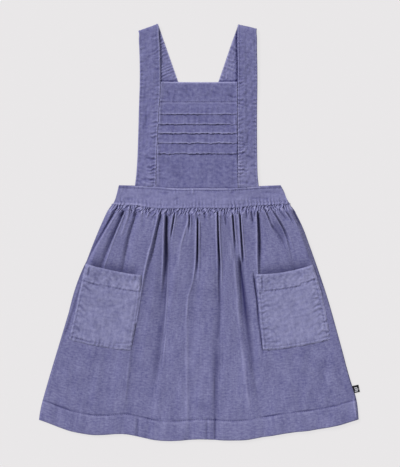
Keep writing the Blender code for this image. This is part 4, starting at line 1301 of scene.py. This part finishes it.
def make_bib():
    profile = bib_profile()
    count = len(profile) - 1

    def place(across, down):
        row = np.clip(np.rint(down * count).astype(int), 0, count)
        y, rise, wear_and_painted_light, wavy, tuck = (profile[row, column] for column in range(5))
        column = across * BIB_COLUMNS
        under_band = np.abs(column - np.clip(column, 1.0, BIB_COLUMNS - 1.0))
        across = np.clip((column - 1.0) / (BIB_COLUMNS - 2.0), 0.0, 1.0)
        guess = BIB_WIDTH * (across - 0.5)
        wave = 0.7 * ripple(guess + 57.0 * tuck, 36.0, 51, 0.4)
        wave += 0.5 * ripple(guess + 31.0 * tuck, 12.0, 52, 0.4)
        from_side = np.minimum(across, 1.0 - across) * BIB_WIDTH
        held = smooth(from_side / 3.0)
        y = y + wavy * wave * smooth(from_side / 8.0)
        y = y - BIB_TOP_DIP * np.sin(np.pi * across) * smooth((y - 215.0) / 10.0)
        y = y + (curve(BAND_TOP, guess) - BIB_FOOT + SEAM_GAP) * smooth((95.0 - y) / 25.0)
        left, right = bib_side(LEFT_BAND, y) + BIB_GAP, bib_side(RIGHT_BAND, y) - BIB_GAP
        x = left * (1.0 - across) + right * across
        x = x + np.sign(across - 0.5) * SEAM_TUCK * under_band
        opened = np.zeros_like(guess)
        for number, shades in enumerate(TUCK_SHADES):
            along_tuck = curve(list(zip(TUCK_SHADE_AT, shades)), guess)
            opened = np.where(tuck == number, along_tuck, opened)
        opened = np.clip(opened + 0.1 * ripple(guess + 83.0 * tuck, 17.0, 56, 0.4), 0.0, 1.2)
        in_tuck = wavy > 0.35
        # The painted highlight on each tuck's edge, and the painted shadow under it, follow how far
        # the tuck stands open
        light = np.where(in_tuck, np.array(TUCK_LIGHT)[tuck.astype(int)] + 0.3 * opened, 1.1)
        wear_and_painted_light = wear_and_painted_light * np.where(wear_and_painted_light < 0.0, np.where(in_tuck, 0.1 + 0.55 * opened, 0.45), light)
        rise = np.where(in_tuck, rise * (0.35 + 0.65 * opened), rise)
        step_up = DOUBLED - CLOTH + 0.55
        rise = rise * (0.45 + 0.55 * held) + step_up * fade(from_side / 7.0)
        pucker = ripple(y + 2.5 * ripple(across, 0.3, 54), 5.8, 53, 0.3)
        pucker = pucker * hill(from_side - 2.5, 7.0)
        gathered = ripple(guess + 19.0 * tuck, 7.5, 57, 0.4) * smooth(wavy) * 0.3
        rumple = 0.35 * mottle(x, y, 36.0, 55) + 0.22 * mottle(x, y, 12.0, 58)
        crushed = mottle(x, y, 6.5, 59) * smooth((y - 190.0) / 8.0)
        rumple = rumple + 0.25 * crushed
        lowered = creases(BIB_CREASES, x, y)
        under = front_lay(x, y)
        face = under + CLOTH + rise + 0.5 * pucker + gathered + rumple * held - lowered
        inner = np.minimum(under, face - 0.8 * CLOTH)
        face = np.where(under_band > 0.0, under - 0.3, face)
        inner = np.where(under_band > 0.0, under - 0.3 - CLOTH, inner)
        # Painted highlights on the puckers' ridges, and crushed patches of nap
        wear_and_painted_light = wear_and_painted_light * smooth(from_side / 6.0) + 0.15 * pucker + 0.1 * crushed
        # Painted shade in the creases and painted highlights on the ridges
        wear_and_painted_light -= 0.45 * np.clip(lowered, -0.6, 1.0)
        # Painted highlight along both side seams
        wear_and_painted_light += 0.35 * hill(from_side - 0.4, 0.8)
        wear_and_painted_light -= 0.08 * smooth((y - 116.0) / 3.0) * smooth((190.0 - y) / 4.0)
        # Painted light on the left side's rising slope, and a painted highlight down most of the
        # right seam
        wear_and_painted_light += 0.2 * fade(from_side / 8.0) * (across < 0.5)
        wear_and_painted_light += 0.45 * hill(from_side - 0.3, 0.9) * (across > 0.5) * (1.0 - hill(y - 121.0, 17.0))
        return stack(x, y, face), stack(x, y, inner), x + BIB_START, y, wear_and_painted_light

    piece = cloth("bib", (BIB_COLUMNS, count), place, BAND_CORD)
    across = np.linspace(-BIB_SEAM_END, BIB_SEAM_END, 40)
    seam = np.column_stack([across, np.full_like(across, BIB_TOP - BIB_HEM + BIB_SEAM_RISE)])
    stitching(piece, above=[seam])


# --- Pockets -------------------------------------------------------------------------------

POCKET_CREASES = table(
    Crease,
    (-166.5, -72.9, -138.3, -81.5, -0.7, 1.2), (-165.5, -75.6, -150, -80, 0.8, 1.3),
    (-105.6, -90.8, -93.3, -91.7, -0.6, 1.2), (-171, -76, -160.6, -85.4, -1, 1),
    (-172, -79.5, -162, -89, 0.9, 1.1), (-177.9, -103, -166.4, -116.8, -0.8, 1),
    (-181.4, -113.4, -169.8, -122.6, -0.7, 1.1), (-180, -108.5, -168, -119.5, 0.7, 1.1),
    (-183.7, -125, -174.5, -137.6, -0.6, 1.1), (-184.5, -139, -178, -150, 0.6, 1.3),
    (-188, -157.4, -158.3, -166, 0.8, 1), (-123.8, -166, -105.3, -166, 0.9, 1),
    (-120, -128, -104, -152, 0.4, 2.5), (-150, -104, -128, -112, 0.35, 3),
    (171.3, -99.6, 182.3, -97.3, 0.7, 1.4), (174, -111, 186, -105.6, 0.8, 1.4),
    (170.4, -120.3, 187.5, -113, 0.8, 1.5), (180.5, -137.3, 193.3, -133, 0.9, 1.5),
    (179.6, -153.8, 196, -149.6, 0.9, 1.5), (90.5, -92.7, 97.8, -95.4, 0.7, 1.2),
    (97.8, -110.1, 108.9, -111, 0.7, 1.4), (93.2, -132.2, 99.7, -132.2, 0.6, 1.2),
    (94.2, -143.7, 109.8, -146, 0.7, 1.4), (109.8, -146, 119, -157, 0.5, 1.5),
    (96.9, -159.3, 106, -159.3, 0.6, 1.3), (96.9, -164.4, 122.6, -164.4, 0.7, 1.3),
    (94.4, -66.5, 95.2, -87, 1.1, 1.1), (155.3, -55.5, 157.6, -72, -0.6, 1.2),
    (-163.5, -50, -166, -66, 0.9, 1.2), (-166, -50.5, -168.5, -62, -0.8, 1.1),
    (-100, -66, -102, -80, -0.5, 1.6), (-95, -65, -95.4, -71.5, 0.7, 1),
)


def widened(field):
    """Each height of a grid becomes the highest of its neighbours."""
    padded = np.pad(field, 1, mode="edge")
    rows, columns = field.shape
    beside = [padded[r : r + rows, c : c + columns] for r in range(3) for c in range(3)]
    return np.max(beside, axis=0)


def softened(field):
    """Each height of a grid becomes the average of its neighbours."""
    padded = np.pad(field, 1, mode="edge")
    beside = padded[:-2, 1:-1] + padded[2:, 1:-1] + padded[1:-1, :-2] + padded[1:-1, 2:]
    return (2.0 * field + beside) / 6.0


BED_PASSES = 7  # times that the skirt's heights are averaged under a pocket
BED_GAP = 0.1  # the least that a pocket keeps from the skirt


class Bed:
    """The softened height of the skirt under a pocket."""

    ACROSS = np.linspace(-1.04, 1.04, 29)
    DOWN = np.linspace(-0.03, 1.03, 37)

    def __init__(self, pocket, skirt):
        x, y = pocket_plan(pocket, *np.meshgrid(self.ACROSS, self.DOWN))
        heights = np.vectorize(lambda at_x, at_y: top_of(skirt, at_x, at_y))(x, y)
        self.heights = widened(heights)
        for _ in range(BED_PASSES):
            self.heights = softened(self.heights)
        self.heights = np.maximum(self.heights, heights + BED_GAP)

    def read(self, across, down):
        column = np.interp(across, self.ACROSS, np.arange(len(self.ACROSS)))
        row = np.interp(down, self.DOWN, np.arange(len(self.DOWN)))
        c = np.minimum(column.astype(int), len(self.ACROSS) - 2)
        r = np.minimum(row.astype(int), len(self.DOWN) - 2)
        part_c, part_r = column - c, row - r
        upper = self.heights[r, c] * (1.0 - part_c) + self.heights[r, c + 1] * part_c
        lower = self.heights[r + 1, c] * (1.0 - part_c) + self.heights[r + 1, c + 1] * part_c
        return upper * (1.0 - part_r) + lower * part_r


def make_pocket(pocket, skirt):
    bed = Bed(pocket, skirt)

    def place(across, down):
        side = 2.0 * across - 1.0
        x, y = pocket_plan(pocket, side, down)
        local_down = down * pocket.depth
        half = pocket_half(pocket, down)
        local_x = side * half
        from_side = (1.0 - np.abs(side)) * half
        from_foot = pocket.depth - local_down
        from_edge = nearest(from_side, local_down, from_foot)
        rim = fade(from_edge / 2.4)
        sewn = fade(np.minimum(from_side, from_foot) / 3.0)
        mouth = 2.4 * fade(down / 0.2) * (1.0 - side**6)
        below_band = local_down - pocket_band(pocket, side)
        band = fade((below_band + 1.2) / 1.6)
        seed = pocket.seed
        leaning = local_down + 3.0 * side * np.abs(side) + 3.0 * ripple(side, 0.5, seed + 5)
        puckers = ripple(leaning, 6.4, seed, 0.35)
        reach = 8.0 + 4.5 * ripple(local_down, 24.0, seed + 1)
        side_puckers = puckers * hill(from_side - 5.0, reach) * (1.0 - 0.5 * band)
        side_puckers += 0.5 * mottle(x, 1.5 * y, 6.0, seed + 7) * hill(from_side - 6.0, 8.0)
        foot_puckers = ripple(local_x, 7.0, seed + 2, 0.3) * hill(from_foot - 4.0, 7.0)
        band_puckers = ripple(local_x + 0.4 * local_down, 6.8, seed + 6, 0.3)
        band_puckers = band_puckers * hill(below_band, 6.0)
        stitch_line = hill(from_side - POCKET_SIDE_SEAM, 0.9) * (1.0 - band)
        stitch_line += hill(from_foot - POCKET_FOOT_SEAM, 0.9)
        band_line = hill(below_band, 1.1)
        lowered = creases(POCKET_CREASES, x, y)
        under = bed.read(side, down) + LAYER_GAP * (1.0 - 0.9 * sewn) + mouth
        folded = 0.6 * band * (1.0 - sewn)
        face = under + CLOTH + folded + 0.4 * foot_puckers + 0.3 * band_puckers
        face += pocket.puckered * side_puckers
        face -= 0.45 * stitch_line + 0.65 * band_line + lowered + 1.0 * rim
        crushed = mottle(x, y, 6.0, seed + 10) * (0.2 + 0.8 * band)
        face += 0.4 * mottle(x, y, 34.0, seed + 3) + 0.28 * mottle(x, y, 12.0, seed + 4)
        face += 0.25 * crushed
        # Painted highlight along the edges
        edge_light = 0.25 + 0.2 * ripple(local_down + local_x, 17.0, seed + 9, 0.4)
        wear_and_painted_light = pocket.pale + np.clip(edge_light, 0.0, 0.5) * hill(from_edge - 1.3, 1.0)
        # Painted shade in the stitched grooves and the band's line, and a painted shadow line along
        # the left edge
        wear_and_painted_light -= 0.25 * stitch_line + 0.4 * band_line
        wear_and_painted_light -= 0.4 * hill(from_side - 0.3, 1.0) * (side < 0.0)
        # Painted highlights on the puckers' ridges
        wear_and_painted_light += 0.3 * pocket.puckered * side_puckers + 0.12 * foot_puckers + 0.12 * band_puckers
        wear_and_painted_light += 0.14 * mottle(x, 0.8 * y, 15.0, seed + 8) * (0.4 + 0.6 * band)
        # Crushed nap, paler to the right, and painted shade in the creases with painted highlights
        # on the ridges
        wear_and_painted_light += 0.13 * crushed + 0.08 * side - 0.45 * np.clip(lowered, -0.6, 1.0)
        upper = band * fade((local_down - 9.0) / 6.0)
        wear_and_painted_light += 0.3 * (band - upper) * smooth((side - 0.1) / 0.4) - 0.17 * upper * hill(side, 0.75)
        wear_and_painted_light += 0.25 * band * smooth((side - 0.75) / 0.2)
        thick = CLOTH + folded - 0.7 * rim
        outer, inner = stack(x, y, face), stack(x, y, face - thick)
        return outer, inner, local_x + POCKET_START, -local_down, wear_and_painted_light

    piece = cloth(pocket.name, POCKET_GRID, place, POCKET_CORD)
    stitching(piece, above=pocket_seams(pocket))


# --- Label ---------------------------------------------------------------------------------

LABEL_DROP = 0.6  # the woven ribbon hangs this far past its form's lower edge
LABEL_TUCK = 0.8  # and is this much further into the seam
LABEL_TILT = 12.0
LABEL_ROUNDING = 0.4
# Its bars: where each lies across and down, and its length, as shares of the label
LABEL_BARS = ((0.0, 0.17, 0.38), (0.1, -0.05, 0.5), (0.02, -0.27, 0.44))
BAR_DEPTH = 0.13
BAR_THICKNESS, BAR_LIFT = 0.2, 0.05


def make_label():
    """A woven tab in the side seam, with plain pale bars."""
    low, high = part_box("side_label")
    low.y -= LABEL_DROP * MM
    high.x -= LABEL_TUCK * MM
    size, middle = high - low, (low + high) / 2.0
    ribbon, bars = bmesh.new(), bmesh.new()
    bmesh.ops.create_cube(ribbon, size=1.0)
    bmesh.ops.scale(ribbon, verts=ribbon.verts[:], vec=size)
    bevel = {"offset": LABEL_ROUNDING * MM, "affect": "EDGES", "segments": 3, "profile": 0.5}
    bmesh.ops.bevel(ribbon, geom=ribbon.edges[:], material=-1, **bevel)
    for across, down, length in LABEL_BARS:
        bar = bmesh.ops.create_cube(bars, size=1.0)["verts"]
        block = (size.x * length, size.y * BAR_DEPTH, BAR_THICKNESS * MM)
        spot = (across * size.x, down * size.y, size.z / 2.0 + BAR_LIFT * MM)
        bmesh.ops.scale(bars, verts=bar, vec=block)
        bmesh.ops.translate(bars, verts=bar, vec=spot)
    tilt = Matrix.Rotation(math.radians(LABEL_TILT), 3, "Z")
    for form in (ribbon, bars):
        bmesh.ops.rotate(form, verts=form.verts[:], matrix=tilt)
        bmesh.ops.translate(form, verts=form.verts[:], vec=middle)
    finish = {"Roughness": 0.7, "Specular IOR Level": 0.2}
    black = spun("label_ribbon", (6, 6, 9), (26, 26, 31), 2500.0, finish)
    pale = spun("label_bars", (150, 150, 156), (225, 225, 230), 1800.0, {"Roughness": 0.8}, False)
    joined(finished("side_label_ribbon", ribbon), black, "side_label")
    joined(finished("side_label_bars", bars), pale)


# --- Stage ---------------------------------------------------------------------------------

VIEW_HEIGHT = 0.7005  # what the camera takes in, from top to bottom
LENS = 100.0
SENSOR = 36.0
VIEW_CENTRE = (0.0015, -0.0015)
CLOTH_LEVEL = 0.006  # the camera's distance is set from this height
FLOOR_TONE = shade_of(233, 231, 232)
FLOOR_SIZE, FLOOR_LEVEL = 30.0, -0.0003
FLOOR_LIT = 0.1  # share of the floor's tone that takes light and shadow
SUNS = (
    ("key_softbox", (-0.9, 0.75, 0.95), 2.75),
    ("fill_softbox", (0.9, 0.1, 1.2), 0.35),
)
SUN_ANGLE = 20.0
SKY = 0.37


def make_stage():
    bpy.ops.mesh.primitive_plane_add(size=FLOOR_SIZE, location=(0.0, 0.0, FLOOR_LEVEL))
    floor = bpy.context.object
    floor.name = "pale_floor"
    pale = Shade("pale_floor")
    glow = tuple((1.0 - FLOOR_LIT) * part for part in FLOOR_TONE[:3]) + (1.0,)
    lit = tuple(FLOOR_LIT * part for part in FLOOR_TONE[:3]) + (1.0,)
    finish = {"Base Color": lit, "Roughness": 1.0, "Specular IOR Level": 0.0}
    dress(floor, pale.surface({**finish, "Emission Color": glow, "Emission Strength": 1.0}))
    lens = bpy.data.cameras.new("overhead")
    lens.lens, lens.sensor_width = LENS, SENSOR
    camera = bpy.data.objects.new("overhead", lens)
    distance = VIEW_HEIGHT / 2.0 * LENS / (SENSOR / 2.0)
    camera.location = (*VIEW_CENTRE, CLOTH_LEVEL + distance)
    bpy.context.scene.collection.objects.link(camera)
    bpy.context.scene.camera = camera
    for name, towards, power in SUNS:
        lamp = bpy.data.lights.new(name, "SUN")
        lamp.energy, lamp.angle = power, math.radians(SUN_ANGLE)
        light = bpy.data.objects.new(name, lamp)
        light.rotation_euler = Vector(towards).to_track_quat("Z", "Y").to_euler()
        bpy.context.scene.collection.objects.link(light)
    world = bpy.data.worlds.new("studio")
    world.use_nodes = True
    sky = world.node_tree.nodes["Background"]
    sky.inputs["Color"].default_value = (1.0, 1.0, 1.0, 1.0)
    sky.inputs["Strength"].default_value = SKY
    bpy.context.scene.world = world
    bpy.context.scene.view_settings.view_transform = "Standard"


def main():
    make_stage()
    make_skirt_back()
    skirt = faces_of(make_skirt_front())
    for pocket in POCKETS:
        make_pocket(pocket, skirt)
    make_waistband_back()
    make_waistband_front()
    make_strap("strap_left", LEFT_BAND, LEFT_SHOULDER, 1.0, 41)
    make_strap("strap_right", RIGHT_BAND, RIGHT_SHOULDER, -1.0, 45)
    make_bib()
    make_label()


main()
